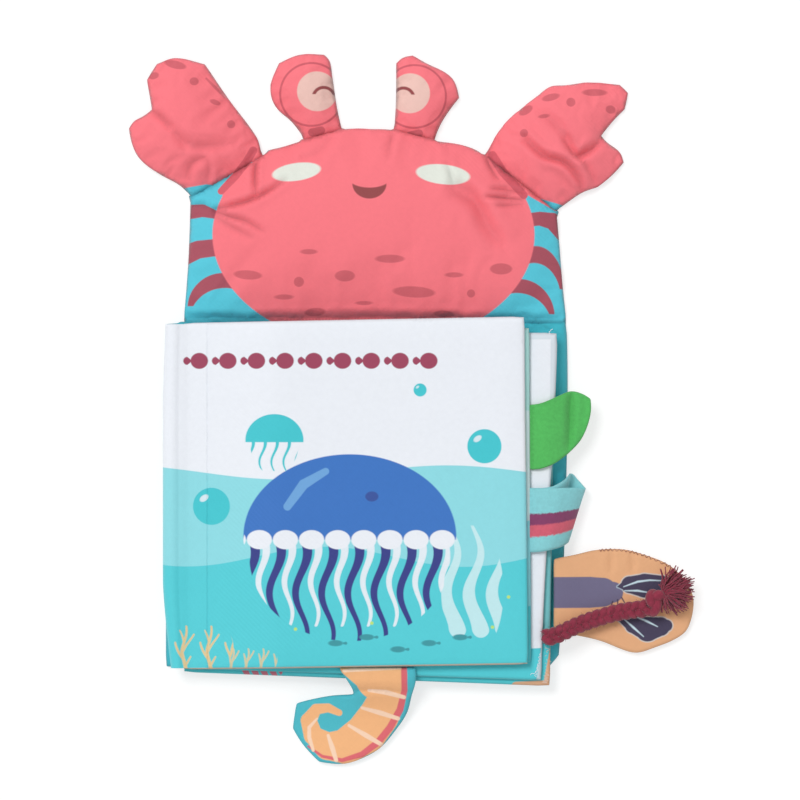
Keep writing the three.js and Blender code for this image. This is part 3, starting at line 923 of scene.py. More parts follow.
def settle(piece: bpy.types.Object, body: str, slot: str, *nodes: str, bend: Bend | None = None) -> None:
    """Fixes a piece on its body, or bakes its place where it crosses a joint, and lets it stand for CAD
    nodes.

    Args:
        piece: The piece, with its final mesh.
        body: The body that it moves with.
        slot: Its material slot; not used.
        nodes: The CAD nodes that it replaces.
        bend: Where it crosses a joint from another body, if it does; then its place is baked in, not fixed on
            the body.
    """
    if bend:
        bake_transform(piece)
    else:
        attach(piece, body)
    if nodes:
        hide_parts(*nodes)
    log.info("%s rides on %s", piece.name, body)


# The part of an outline that lies this near a seam, or this far past its ends, is sewn along it
SEAM_REACH = 2.2 * MM
SEAM_ENDS = 1.5 * MM


def tucked(outline: np.ndarray, start: Point, end: Point, beyond: float) -> np.ndarray:
    """Moves the part of an outline that is sewn along a seam to a set distance past that seam.

    Args:
        outline: The outline, counterclockwise.
        start: One end of the seam, in photograph pixels.
        end: Its other end.
        beyond: How far past the seam the edge ends up.

    Returns:
        The outline with that part moved.
    """
    a, b = np.array(from_photo(*start)), np.array(from_photo(*end))
    along = unit(b - a)
    out = np.array([-along[1], along[0]])
    if (outline.mean(0) - a) @ out > 0:
        out = -out
    place = (outline - a) @ along
    past = (outline - a) @ out
    near = (place > -SEAM_ENDS) & (place < np.linalg.norm(b - a) + SEAM_ENDS)
    near &= np.abs(past) < SEAM_REACH
    return outline + np.where(near, beyond - past, 0.0)[:, None] * out


@dataclass
class Dress:
    """What every sub-assembly needs: the CAD nodes and the shared node groups."""

    nodes: dict[str, bpy.types.Object]
    tools: PrintTools


@dataclass(frozen=True)
class Stuffing:
    """Blows up a sewn piece as cloth, held at its seam and where it rests."""

    pressure: float = 4.0
    growth: float = 0.035
    frames: int = 18
    cap: float = 3.0 * MM
    share: float = 1.0
    quality: int = 5
    mass: float = 0.2
    stretch_stiffness: float = 12.0
    shear_stiffness: float = 6.0
    bending_stiffness: float = 0.6

    def swell(self, piece: bpy.types.Object, held: Sequence[int]) -> None:
        """Runs the cloth and writes its result into the mesh.

        Args:
            piece: The closed mesh.
            held: The vertices that stay where they are.
        """
        scene = bpy.context.scene
        group = piece.vertex_groups.new(name="held")
        group.add(list(held), 1.0, "REPLACE")
        cloth = piece.modifiers.new("cloth", "CLOTH")
        settings = cloth.settings
        settings.quality = self.quality
        settings.mass = self.mass
        settings.tension_stiffness = settings.compression_stiffness = self.stretch_stiffness
        settings.shear_stiffness = self.shear_stiffness
        settings.bending_stiffness = self.bending_stiffness
        settings.shrink_min = -self.growth
        settings.use_pressure = True
        settings.uniform_pressure_force = self.pressure
        settings.vertex_group_mass = group.name
        settings.effector_weights.gravity = 0.0
        cloth.collision_settings.use_collision = False
        cloth.point_cache.frame_start = 1
        cloth.point_cache.frame_end = self.frames
        for frame in range(1, self.frames + 1):
            scene.frame_set(frame)
        made = piece.evaluated_get(bpy.context.evaluated_depsgraph_get()).data
        moved = np.empty(len(made.vertices) * 3)
        made.vertices.foreach_get("co", moved)
        piece.modifiers.remove(cloth)
        piece.vertex_groups.remove(group)
        start = np.empty(len(piece.data.vertices) * 3)
        piece.data.vertices.foreach_get("co", start)
        start = start.reshape(-1, 3)
        step = moved.reshape(-1, 3) - start
        length = np.linalg.norm(step, axis=1)
        limited = np.tanh(length / self.cap) * self.cap * self.share
        step *= (limited / np.maximum(length, 1e-9))[:, None]
        log.info("%s swelled by up to %.1f mm", piece.name, length.max() / MM)
        piece.data.vertices.foreach_set("co", (start + step).ravel())
        scene.frame_set(1)


# Where rows of points run beside a pad's edge, as shares of its edge's width, when blown up and when flat
BLOWN_BANDS = (0.35, 0.85)
FLAT_BANDS = (0.3, 0.95)
# Puckers fade out within this distance of a tuck, and cloth changes height fully this far from the edge
TUCK_CALM = 7 * MM
EDGE_CALM = 1.6 * MM
THINNEST_PAD = 0.8 * MM


@dataclass
class Pad:
    """A sewn pad: a front and a rear cloth joined at the seam, over its filling."""

    name: str
    body: str
    slot: str
    cad: tuple[str, str, str]
    spacing: float = 3.0 * MM
    smoothing: int = 4
    corner_deg: float = 34.0
    crown: float = 0.0
    power: float = 0.6
    pucker: float = 0.0
    pucker_pitch: float = 9.0 * MM
    pucker_reach: float = 6.0 * MM
    creases: tuple[Crease, ...] = ()
    ripple: float = 0.0
    fill: float = 0.5
    seed: int = 1
    seam: float = 1.1 * MM
    rounds: int = 1
    edge: float = 1.7 * MM
    seam_width: float = 1.0 * MM
    stuffing: Stuffing | None = None
    tucks: tuple[tuple[Point, Point, float], ...] = ()
    laid_on: tuple[str, ...] = ()

    def build(self, dress: Dress, front: bpy.types.Material, rear: bpy.types.Material) -> bpy.types.Object:
        """Builds the pad on its CAD solids.

        Args:
            dress: The CAD nodes and shared groups.
            front: The front cloth.
            rear: The rear cloth.

        Returns:
            The pad.
        """
        rear_node, _, front_node = (dress.nodes[name] for name in self.cad)
        outline = rounded(outline_of(front_node), self.spacing, self.corner_deg)
        for start, end, beyond in self.tucks:
            outline = tucked(outline, start, end, beyond)
        bands = [share * self.edge for share in (BLOWN_BANDS if self.crown else FLAT_BANDS)]
        self.pattern = Pattern(outline, self.spacing, bands, [crease.line for crease in self.creases])
        upper, lower = self._heights(front_node, rear_node)
        piece = self._sewn(upper, lower, [front, rear])
        if self.stuffing:
            rear_points = range(len(self.pattern.xy), len(piece.data.vertices))
            self.stuffing.swell(piece, [*range(self.pattern.rim), *rear_points])
        if self.rounds:
            soft = piece.modifiers.new("soft surface", "SUBSURF")
            soft.levels = soft.render_levels = self.rounds
        settle(piece, self.body, self.slot, *self.cad)
        return piece

    def _sewn(
        self, upper: np.ndarray, lower: np.ndarray, cloths: Sequence[bpy.types.Material]
    ) -> bpy.types.Object:
        """Joins the front and rear cloth at their rim and marks where painted shade darkens them along the
        seam and in the folds.

        Args:
            upper: The front cloth's height at each point of the pattern.
            lower: The rear cloth's height at each point.
            cloths: The front and the rear cloth's materials.

        Returns:
            The closed mesh, with the front's points first and the rear's inner points after them.
        """
        pattern = self.pattern
        inner = np.arange(pattern.rim, len(pattern.xy))
        points = [(*p, z) for p, z in zip(pattern.xy, upper)]
        points += [(*pattern.xy[i], lower[i]) for i in inner]
        under = np.arange(len(pattern.xy))
        under[pattern.rim :] += len(inner)
        faces = list(pattern.faces)
        faces += [tuple(under[i] for i in reversed(face)) for face in pattern.faces]
        piece = make_object(self.name, points, faces, cloths)
        for face in piece.data.polygons:
            face.material_index = int(face.index >= len(pattern.faces))
        # Painted shade: strongest at the rim and along tucked seams, where the seam valley lies in shade and
        # the seam line shows dark, and in each fold's valley
        seam = np.clip(1 - pattern.to_rim / self.seam_width, 0, 1)
        for away in self._from_tucks():
            seam = np.maximum(seam, np.clip(1 - away / self.seam_width, 0, 1))
        fold = np.max([seam, *(crease.shade(pattern.xy) for crease in self.creases)], axis=0)
        near = np.concatenate([fold, seam[inner]])
        piece.data.attributes.new("seam_and_fold_shade", "FLOAT", "POINT").data.foreach_set("value", near)
        return piece

    def _from_tucks(self) -> list[np.ndarray]:
        """Gives each point's distance from each tuck's seam."""
        seams = [np.array([from_photo(*start), from_photo(*end)]) for start, end, _ in self.tucks]
        return [beside(seam, self.pattern.xy)[0] for seam in seams]

    def _heights(self, front: bpy.types.Object, rear: bpy.types.Object) -> tuple[np.ndarray, np.ndarray]:
        """Gives the heights of the front and rear cloth at each point of the pattern."""
        pattern = self.pattern
        if self.crown:
            swell = pattern.crown() ** self.power
            upper = self.seam / 2 + (self.crown - self.seam / 2) * swell
            lower = self.seam / 2 * (1 - np.clip(swell * 3, 0, 1)) + 0.05 * MM
        else:
            short = np.clip(self.edge - pattern.to_rim, 0, None)
            places = pattern.xy + pattern.inward * short[:, None]
            upper = pattern.relaxed(surface_heights(front, places, True), self.smoothing)
            lower = pattern.relaxed(surface_heights(rear, places, False), self.smoothing)
            middle = (upper + lower) / 2
            bulge = np.sqrt(1 - (1 - np.clip(pattern.to_rim / self.edge, 0, 1)) ** 2)
            bulge[: pattern.rim] = 0
            upper = middle + (upper - middle) * bulge
            lower = middle + (lower - middle) * bulge
        change = self.pucker * pattern.puckers(self.pucker_pitch, self.pucker_reach, self.seed)
        for away in self._from_tucks():
            change = change * np.clip(away / TUCK_CALM, 0, 1)
        for crease in self.creases:
            change = change + crease.lower(pattern.xy)
        if self.ripple:
            change = change + self.ripple * self._ripples()
        full = np.clip(pattern.to_rim / EDGE_CALM, 0, 1)
        upper = np.maximum(upper + change * full, np.minimum(upper, lower + THINNEST_PAD))
        return upper, lower

    def _ripples(self) -> np.ndarray:
        """Gives slow waves over the cloth, from -1 to 1."""
        dice = np.random.default_rng(self.seed + 40)
        total = np.zeros(len(self.pattern.xy))
        for _ in range(7):
            heading = dice.uniform(0, np.pi)
            pitch = dice.uniform(16, 46) * MM
            along = self.pattern.xy @ np.array([math.cos(heading), math.sin(heading)])
            total += np.sin(2 * np.pi * along / pitch + dice.uniform(0, 6.3)) * pitch
        return total / np.abs(total).max()


@dataclass
class CrabHead:
    """The stuffed crab head flap with its claws and eyes."""

    head_crown: float = 15.0 * MM
    claw_crown: float = 11.0 * MM
    eye_crown: float = 8.5 * MM

    def build(self, dress: Dress) -> None:
        """Builds the head, claws and eyes."""
        coral = Cloth("coral cloth", Ink.CORAL, crumple=0.8, seam_and_fold_shade_strength=0.45)
        teal = Cloth("teal head ground", Ink.BRIGHT_TEAL, crumple=0.8, seam_and_fold_shade_strength=0.45)
        rear = coral.dye(dress.tools)
        head = teal.dye(dress.tools, self.paint_head)
        self._limb("head", self.head_crown, 1.6 * MM, HEAD_CREASES, 3, 0.52).build(dress, head, rear)
        prints = (
            ("left_claw", self.claw_crown, LEFT_CLAW_CREASES, self.paint_left_claw),
            ("right_claw", self.claw_crown, RIGHT_CLAW_CREASES, self.paint_right_claw),
            ("left_eye", self.eye_crown, (), self.paint_left_eye),
            ("right_eye", self.eye_crown, (), self.paint_right_eye),
        )
        for seed, (name, crown, creases, painter) in enumerate(prints, 11):
            cloth = Cloth(f"{name} print", Ink.CORAL, crumple=0.8, seam_and_fold_shade_strength=0.45).dye(dress.tools, painter)
            self._limb(name, crown, 1.2 * MM, creases, seed, 0.55).build(dress, cloth, rear)

    @staticmethod
    def _limb(
        name: str, crown: float, spacing: float, creases: tuple[Crease, ...], seed: int, power: float
    ) -> Pad:
        """Gives the pad of one stuffed piece, its sewn sides run on under its neighbour."""
        seams = SEAMS.items() if name == "head" else ((name, SEAMS[name]),)
        beyond = 0.7 * MM if name == "head" else 1.6 * MM
        hinge = ((*HINGE, 1.2 * MM),) if name == "head" else ()
        return Pad(
            name=f"{name}_plush",
            body=name,
            slot="crab_print",
            cad=(f"{name}_rear_panel", f"{name}_stuffing", f"{name}_front_panel"),
            spacing=spacing,
            crown=crown,
            power=power,
            pucker=0.5 * MM,
            creases=creases,
            ripple=0.25 * MM,
            fill=0.7,
            seed=seed,
            rounds=0,
            seam_width=1.5 * MM,
            stuffing=Stuffing(growth=0.022, share=0.6) if name == "head" else Stuffing(growth=0.03),
            tucks=tuple((*seam, beyond) for _, seam in seams) + hinge,
        )

    @staticmethod
    def paint_head(art: Print) -> None:
        """Prints the legs at both sides, the round body with its spots, the arms and the face."""
        for places in LEG_STROKES:
            art.paint(Ink.LEG, art.stroke(*places))
        for outer, inner, lowest in LEG_CRESCENTS:
            art.paint(Ink.LEG, art.crescent(outer, inner, lowest))
        left_arm = art.stroke((246, 172, 22), (230, 192, 15), (224, 203, 6))
        right_arm = art.stroke((490, 162, 26), (506, 175, 20), (530, 191, 9), (556, 209, 3))
        art.paint(Ink.CORAL, art.either(art.ellipse(373.5, 235, 322, 224), left_arm, right_arm))
        art.paint(Ink.WRIST, art.stroke(*LEFT_WRIST))
        art.paint(Ink.WRIST, art.stroke(*RIGHT_WRIST))
        for spot in HEAD_SPOTS:
            art.paint(Ink.SPOT, art.ellipse(*spot), 0.85)
        for cheek in HEAD_CHEEKS:
            art.paint(Ink.CHEEK, art.ellipse(*cheek))
        smile = art.without(art.ellipse(369.5, 184, 34, 30), art.ellipse(369.5, 177, 44, 22))
        art.paint(Ink.MOUTH, smile)

    @staticmethod
    def paint_left_claw(art: Print) -> None:
        """Prints the left claw's teal cuff, wrist band and spots."""
        art.paint(Ink.BRIGHT_TEAL, art.stroke((176, 196, 14), (206, 195, 22), (228, 196, 20)))
        art.paint(Ink.WRIST, art.stroke(*LEFT_WRIST))
        for spot in LEFT_CLAW_SPOTS:
            art.paint(Ink.SPOT, art.ellipse(*spot), 0.85)
        art.paint(Ink.SPOT, art.stroke((206, 78, 2), (216, 88, 3), (224, 97, 1)), 0.8)

    @staticmethod
    def paint_right_claw(art: Print) -> None:
        """Prints the right claw's teal cuff, wrist band and spots."""
        art.paint(Ink.BRIGHT_TEAL, art.stroke((520, 202, 18), (545, 210, 20), (566, 214, 16)))
        art.paint(Ink.WRIST, art.stroke(*RIGHT_WRIST))
        for spot in RIGHT_CLAW_SPOTS:
            art.paint(Ink.SPOT, art.ellipse(*spot), 0.85)

    @staticmethod
    def paint_left_eye(art: Print) -> None:
        """Prints the left eye, closed in a smile."""
        paint_eye(art, (311.5, 94), (317, 91), (324, 98), (316, 131))

    @staticmethod
    def paint_right_eye(art: Print) -> None:
        """Prints the right eye, closed in a smile."""
        paint_eye(art, (414.5, 96), (410, 93), (403, 98.5), (414, 134))


def paint_eye(art: Print, ring: Point, disc: Point, lid: Point, patch: Point) -> None:
    """Prints a ring, a pale disc, a smiling lid and a patch at the root."""
    art.paint(Ink.RING, art.without(art.ellipse(*ring, 65, 65), art.ellipse(*ring, 61, 61)), 0.8)
    art.paint(Ink.EYE, art.ellipse(*disc, 40, 40))
    art.paint(Ink.MOUTH, art.crescent((*lid, 25, 25), (*lid, 18.6, 18.6), lid[1] - 4))
    art.paint(Ink.SPOT, art.stroke((patch[0] - 4, patch[1] + 1, 8), (patch[0] + 5, patch[1] - 1, 8)))


HINGE = ((183, 322), (567, 322))
SEAMS = {
    "left_claw": ((262, 156), (190, 196)),
    "right_claw": ((485, 155), (557, 211)),
    "left_eye": ((341.7, 128.4), (304.2, 139.1)),
    "right_eye": ((434.1, 139.8), (393.9, 129.1)),
}
LEFT_WRIST = ((221, 191, 7), (235, 176, 8), (246, 162, 8), (253, 150, 8))
RIGHT_WRIST = ((492.5, 155, 9), (502.5, 171, 9), (524, 195, 8))
LEG_STROKES = (
    ((184, 212, 15), (202, 210.5, 13), (220, 216, 7)),
    ((184, 255, 20), (198, 249.5, 18), (222, 247, 17)),
    ((520, 221, 13), (540, 218.5, 14), (553, 221, 17), (562, 233, 14)),
)
LEG_CRESCENTS = (
    ((223, 308, 72, 70), (225, 321, 72, 66), 306),
    ((536, 290, 58, 88), (534, 298, 54, 70), 289),
    ((519, 317, 72, 76), (517, 327, 70, 68), 314),
)
HEAD_SPOTS = (
    (309, 252, 17, 5), (248, 275, 28, 9, 4), (299, 282, 10, 10), (345, 276, 20, 11), (390, 259, 29, 8),
    (284, 297, 19, 5), (364, 303, 17, 4), (414, 292, 42, 11, 3), (454, 275, 18, 5), (501, 269, 22, 11),
    (471, 293.5, 8, 8), (315, 312, 21, 8, -4), (444, 314, 20, 7, 4),
)
HEAD_CHEEKS = ((296.5, 172, 49, 18, -8), (443, 174.5, 54, 20, 6))
LEFT_CLAW_SPOTS = (
    (175, 64, 22, 8, 14), (153, 75, 11, 7, -10), (194, 81, 9, 8), (215, 102, 11, 5, 20), (231, 124, 8, 8),
)
RIGHT_CLAW_SPOTS = (
    (551, 97, 18, 7, -14), (571, 102, 9, 9), (595, 92, 25, 7), (611, 109, 10, 8, 10),
    (526, 110, 15, 8, -30), (544, 116, 11, 4, -8), (524, 133, 8, 8),
)
HEAD_CREASES = (
    Crease(((218, 209), (247, 201), (267, 192), (288, 178)), 2.6 * MM, 1.7 * MM),
    Crease(((258, 152), (255, 172), (256, 197)), 2.2 * MM, 1.4 * MM),
    Crease(((216, 211), (231, 217), (248, 222), (266, 233)), 1.8 * MM, 1.6 * MM),
    Crease(((215, 215), (233, 227), (256, 239)), 1.2 * MM, 2.2 * MM),
    Crease(((188, 205), (203, 204), (219, 212)), 1.2 * MM, 1.4 * MM),
    Crease(((485, 156), (490, 166), (499, 180)), 2.0 * MM, 1.4 * MM),
    Crease(((488, 197), (505, 198), (524, 200)), 2.2 * MM, 1.3 * MM),
    Crease(((492, 189), (506, 190), (523, 193)), 1.5 * MM, 1.3 * MM),
    Crease(((497, 206), (510, 205), (524, 204)), 1.3 * MM, 1.5 * MM),
    Crease(((456, 194), (476, 205), (487, 225), (504, 247)), 3.6 * MM, 4.0 * MM),
    Crease(((452, 182), (468, 190), (480, 200)), 1.2 * MM, 3.4 * MM),
    Crease(((447, 166), (450, 174), (453, 184)), 0.7 * MM, 1.6 * MM),
    Crease(((393, 131), (390, 144), (388, 160)), 0.9 * MM, 1.8 * MM),
    Crease(((330, 136), (320, 150), (300, 158)), 0.7 * MM, 3.0 * MM),
    Crease(((178, 319.5), (300, 318.8), (420, 318.8), (566, 319.5)), 1.9 * MM, 1.9 * MM, 0.25),
)
LEFT_CLAW_CREASES = (
    Crease(((152, 110), (162, 118), (174, 130)), 2.0 * MM, 2.4 * MM),
    Crease(((204, 157), (190, 166), (188, 183)), 1.4 * MM, 2.4 * MM),
    Crease(((178, 138), (200, 146), (230, 143)), 1.7 * MM, 3.4 * MM),
    Crease(((207, 160), (208, 170), (207, 182)), 0.8 * MM, 2.0 * MM),
    Crease(((172, 128), (182, 140), (184, 156)), 1.1 * MM, 2.6 * MM),
)
RIGHT_CLAW_CREASES = (
    Crease(((526, 141), (543, 155), (567, 164), (578, 178), (583, 194)), 3.2 * MM, 2.0 * MM),
    Crease(((566, 140), (577, 155), (592, 148), (603, 139)), 3.2 * MM, 2.2 * MM),
    Crease(((546, 117), (566, 134), (582, 146)), 1.4 * MM, 3.2 * MM),
    Crease(((583, 162), (590, 170), (599, 181)), 0.7 * MM, 2.4 * MM),
    Crease(((541, 167), (560, 175), (579, 192)), 0.7 * MM, 2.8 * MM),
)


@dataclass
class Covers:
    """The padded back cover, the spine roll, the three pages and the front cover."""

    spine_x: float = -99.9 * MM
    spine_z: float = 12.0 * MM
    roll_radius: float = 4.4 * MM
    wrap_radius: float = 4.6 * MM
    wrap_cloth: float = 0.3 * MM
    wrap_rows: int = 90
    lip_x: float = -93.2 * MM
    lip_step_mm: float = 0.9
    lip_rise_mm: float = 0.42
    lip_lift_mm: float = 0.04
    lip_slope: float = 4 * MM
    bend_end_x: float = -95.5 * MM

    def build(self, dress: Dress) -> None:
        """Builds the covers, pages and spine."""
        teal = Cloth("teal cloth", Ink.TEAL, crumple=0.9).dye(dress.tools)
        back = self._pad("back_cover", "root", "teal_cloth", "padding", 5, 0.5 * MM, 0.4)
        back.tucks = ((*HINGE, 0.3 * MM),)
        back.creases = (Crease(((522, 330), (536, 325.5), (548, 327.5), (562, 335)), 1.7 * MM, 1.3 * MM),)
        back.build(dress, teal, teal)
        self._roll(dress)
        inks = (
            ("page_3", "peach_cloth", Ink.HEM_TEAL, paint_page_3),
            ("page_2", "white_cloth", Ink.WHITE, paint_page_2),
            ("page_1", "mint_cloth", Ink.MINT, paint_page_1),
        )
        for seed, (name, slot, ink, painter) in enumerate(inks, 21):
            front = Cloth(f"{name} front print", ink, crumple=0.5).dye(dress.tools, painter)
            rear = Cloth(f"{name} rear cloth", ink, crumple=0.5).dye(dress.tools, paint_sea_rear)
            self._pad(name, name, slot, "crinkle_sheet", seed, 0.12 * MM, 0.15).build(dress, front, rear)
        printed = Cloth("front cover print", Ink.WHITE, roughness=0.6, crumple=0.35)
        cover = printed.dye(dress.tools, paint_cover)
        inner = Cloth("front cover lining", Ink.WHITE, crumple=0.4).dye(dress.tools, paint_sea_rear)
        pad = Pad(
            name="front_cover_pad",
            body="front_cover",
            slot="cover_print",
            cad=("front_cover_inner_panel", "front_cover_padding", "front_cover_outer_panel"),
            spacing=2.6 * MM,
            ripple=0.22 * MM,
            fill=0.35,
            seed=31,
            rounds=0,
        )
        self._wrap(pad.build(dress, cover, inner), cover)

    @staticmethod
    def _pad(name: str, body: str, slot: str, filling: str, seed: int, ripple: float, fill: float) -> Pad:
        """Gives the pad of a page or of the back cover."""
        return Pad(
            name=f"{name}_pad",
            body=body,
            slot=slot,
            cad=(f"{name}_rear_panel", f"{name}_{filling}", f"{name}_front_panel"),
            spacing=3.0 * MM,
            ripple=ripple,
            fill=fill,
            seed=seed,
            rounds=0,
        )

    def _roll(self, dress: Dress) -> None:
        """Builds the bound spine, a cloth roll with gathered ends."""
        low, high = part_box("spine_binding")
        cloth = Cloth("spine binding", Ink.LIGHT_AQUA, crumple=0.6).dye(dress.tools)
        sides, rings = 28, 60
        points = []
        for j in range(rings + 1):
            y = low.y + (high.y - low.y) * j / rings
            end = min(j, rings - j) / rings * (high.y - low.y)
            radius = self.roll_radius * min(1.0, 0.72 + 0.28 * math.sqrt(min(end / (3 * MM), 1.0)))
            for i in range(sides):
                angle = 2 * math.pi * i / sides
                wobble = 1 - 0.012 * (1 + math.sin(3 * angle + 0.35 * j))
                x = self.spine_x + radius * wobble * math.cos(angle)
                points.append((x + self._pull(x, y), y, self.spine_z + radius * wobble * math.sin(angle)))
        roll = make_object("spine_roll", points, ring_faces(rings, sides), [cloth])
        settle(roll, "root", "page_binding", "spine_binding")

    @staticmethod
    def _pull(x: float, y: float) -> float:
        """Gives how far the spine is drawn in towards the pages near its two ends."""
        low = min(max((-y - 42 * MM) / (42 * MM), 0.0), 1.0) ** 1.3 * 4.0 * MM
        high = min(max((y - 50 * MM) / (35 * MM), 0.0), 1.0) * 1.3 * MM
        return (low + high) * min(max((-90 * MM - x) / (15 * MM), 0.0), 1.0)

    def _wrap(self, pad: bpy.types.Object, cloth: bpy.types.Material) -> None:
        """Builds the strip of cover cloth that runs round the spine and onto the cover's pad.

        Args:
            pad: The cover's pad, already built.
            cloth: The cover's printed cloth.
        """
        low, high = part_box("spine_wrap")
        outer = self.wrap_radius + self.wrap_cloth
        turns = [math.radians(degrees) for degrees in range(200, 58, -7)]
        section = [(self.spine_x + outer * math.cos(a), self.spine_z + outer * math.sin(a)) for a in turns]
        reach = [section[-1][0] + k * self.lip_step_mm * MM for k in range(1, 17)]
        rows = self.wrap_rows
        columns = len(section) + len(reach)
        ys = [low.y + (high.y - low.y) * j / rows for j in range(rows + 1)]
        flat = np.array([(max(x, self.lip_x), y) for y in ys for x in reach])
        tops = surface_heights(pad, flat, True).reshape(rows + 1, len(reach))
        points, faces = [], []
        for j, y in enumerate(ys):
            for x, z in section:
                points.append((x + self._pull(x, y), y, z))
            for k, x in enumerate(reach):
                share = k / (len(reach) - 1)
                near = min(max((x - self.lip_x) / self.lip_slope, 0.0), 1.0)
                rest = tops[j, k] + (self.lip_rise_mm * (1 - share) ** 2 + self.lip_lift_mm) * MM
                bridge = section[-1][1] + (rest - section[-1][1]) * min(1.0, (k + 1) / 6)
                points.append((x + self._pull(x, y), y, bridge * (1 - near) + rest * near))
        for j in range(rows):
            for i in range(columns - 1):
                a = j * columns + i
                faces.append((a, a + columns, a + columns + 1, a + 1))
        strip = make_object("front_cover_spine_strip", points, faces, [cloth])
        for edge in strip.data.edges:
            (row, column), (next_row, next_column) = (divmod(v, columns) for v in edge.vertices)
            at_side = column == next_column and column in (0, columns - 1)
            edge.use_edge_sharp = at_side or (row == next_row and row in (0, rows))
        thick = strip.modifiers.new("cloth", "SOLIDIFY")
        thick.thickness = self.wrap_cloth
        thick.offset = -1
        bend = Bend(
            "page_1", (self.spine_x - outer, 0.0, self.spine_z), (self.bend_end_x, 0.0, self.spine_z)
        )
        settle(strip, "front_cover", "cover_print", "spine_wrap", bend=bend)


def paint_page_3(art: Print) -> None:
    """Prints page 3: sea green, with a peach edge at its outer corner and small pink shapes low down."""
    art.paint(Ink.DEEP_AQUA, art.wave(640, 3, 26, 0.4))
    art.paint(Ink.PEACH, art.stroke((516, 686, 9), (548, 685, 10), (553, 640, 3)))
    shapes = art.row(243, 9, 3, 5).ellipse(248, 671, 6.5, 14)
    art.paint(Ink.PINK_RED, art.both(shapes, art.stroke((248, 671, 14), (276, 670, 14))), 0.9)


def paint_page_2(art: Print) -> None:
    """Prints page 2: white with aqua below, and a grey band inside its edge that is painted shadow cast by
    page 1.
    """
    art.paint(Ink.DEEP_AQUA, art.wave(646, 2, 26, 0.4))
    # Painted shadow: a grey band inside the page's top and outer edge, where page 1 above shades it
    page_1_shadow = art.stroke((200, 335, 9), (555, 335, 9), (552, 500, 7), (545, 640, 6), (539, 680, 6))
    art.paint(Ink.GREY_LINE, page_1_shadow, 0.8)


def paint_page_1(art: Print) -> None:
    """Prints page 1: mint with lighter bands of sea."""
    art.paint(Ink.WHITE, art.wave(420, 10, 30, 0.0), 0.5)
    art.paint(Ink.LIGHT_AQUA, art.wave(520, 8, 36, 1.0))
    art.paint(Ink.DEEP_AQUA, art.wave(600, 6, 28, 2.0))


def paint_sea_rear(art: Print) -> None:
    """Prints plain bands of sea on the rear of a page."""
    art.paint(Ink.LIGHT_AQUA, art.wave(470, 7, 40, 0.7), 0.8)
    art.paint(Ink.DEEP_AQUA, art.wave(575, 6, 33, 2.2), 0.8)
    for x, y, size in ((240, 400, 22), (300, 380, 12), (420, 410, 26), (470, 370, 14), (350, 420, 9)):
        art.paint(Ink.BUBBLE, art.ellipse(x, y, size, size), 0.6)


def fish(art: Print, px: float, py: float, length: float, height: float, facing: int = 1) -> Socket:
    """Masks a plain fish: an oval body and a tail that widens."""
    root = px - facing * length * 0.2
    tip = px - facing * length * 0.38
    body = art.ellipse(px + facing * length * 0.1, py, length * 0.7, height)
    return art.either(body, art.stroke((root, py, 1.0), (tip, py, height * 0.5)))


def paint_cover(art: Print) -> None:
    """Prints the front cover: sea bands, a row of plain fish, jellyfish, branching weed and bubbles."""
    art.paint(Ink.LIGHT_AQUA, art.wave(472, 7, 52, 2.4))
    art.paint(Ink.DEEP_AQUA, art.wave(556, 10, 44, 3.6))
    shoal = fish(art.row(183, 28.6), 197.3, 361, 25, 16)
    art.paint(Ink.MAROON, art.both(shoal, art.stroke((198, 361, 30), (425, 361, 30))))
    for x, y, size in ((212, 506, 37), (484, 446, 34), (420, 390, 13)):
        art.paint(Ink.BUBBLE, art.ellipse(x, y, size, size))
        art.paint(Ink.WHITE, art.ellipse(x - size * 0.2, y - size * 0.22, size * 0.26, size * 0.16, -35), 0.8)
    kelp = art.row(440, 23, 6, 13).stroke((451.5, 524, 3), (451.5, 628, 17))
    art.paint(Ink.FOAM, art.both(kelp, art.ellipse(472, 590, 62, 130)), 0.85)
    paint_jellyfish(art)
    stems = art.row(172, 25, 1.5, 6)
    tall = art.either(*(stems.stroke(*places) for places in WEED))
    art.paint(Ink.SAND, art.both(tall, art.stroke((194, 646, 48), (210, 646, 48))))
    stems = art.row(226, 15, 1.5, 5)
    low = art.either(*(stems.stroke(*places) for places in LOW_WEED))
    art.paint(Ink.SAND, art.both(low, art.stroke((242, 658, 32), (262, 658, 32))), 0.85)
    swimmers = fish(art.row(322, 31, bob=7), 338, 642, 21, 6, -1)
    art.paint(Ink.FISH, art.both(swimmers, art.stroke((340, 642, 28), (470, 642, 28))))
    for x, y in ((296, 628), (372, 622), (492, 626), (508, 596)):
        art.paint(Ink.LIME, art.ellipse(x, y, 3.4, 3.4))
    art.paint(Ink.PEACH, art.stroke((160, 669.5, 3), (535, 663, 3)), 0.8)


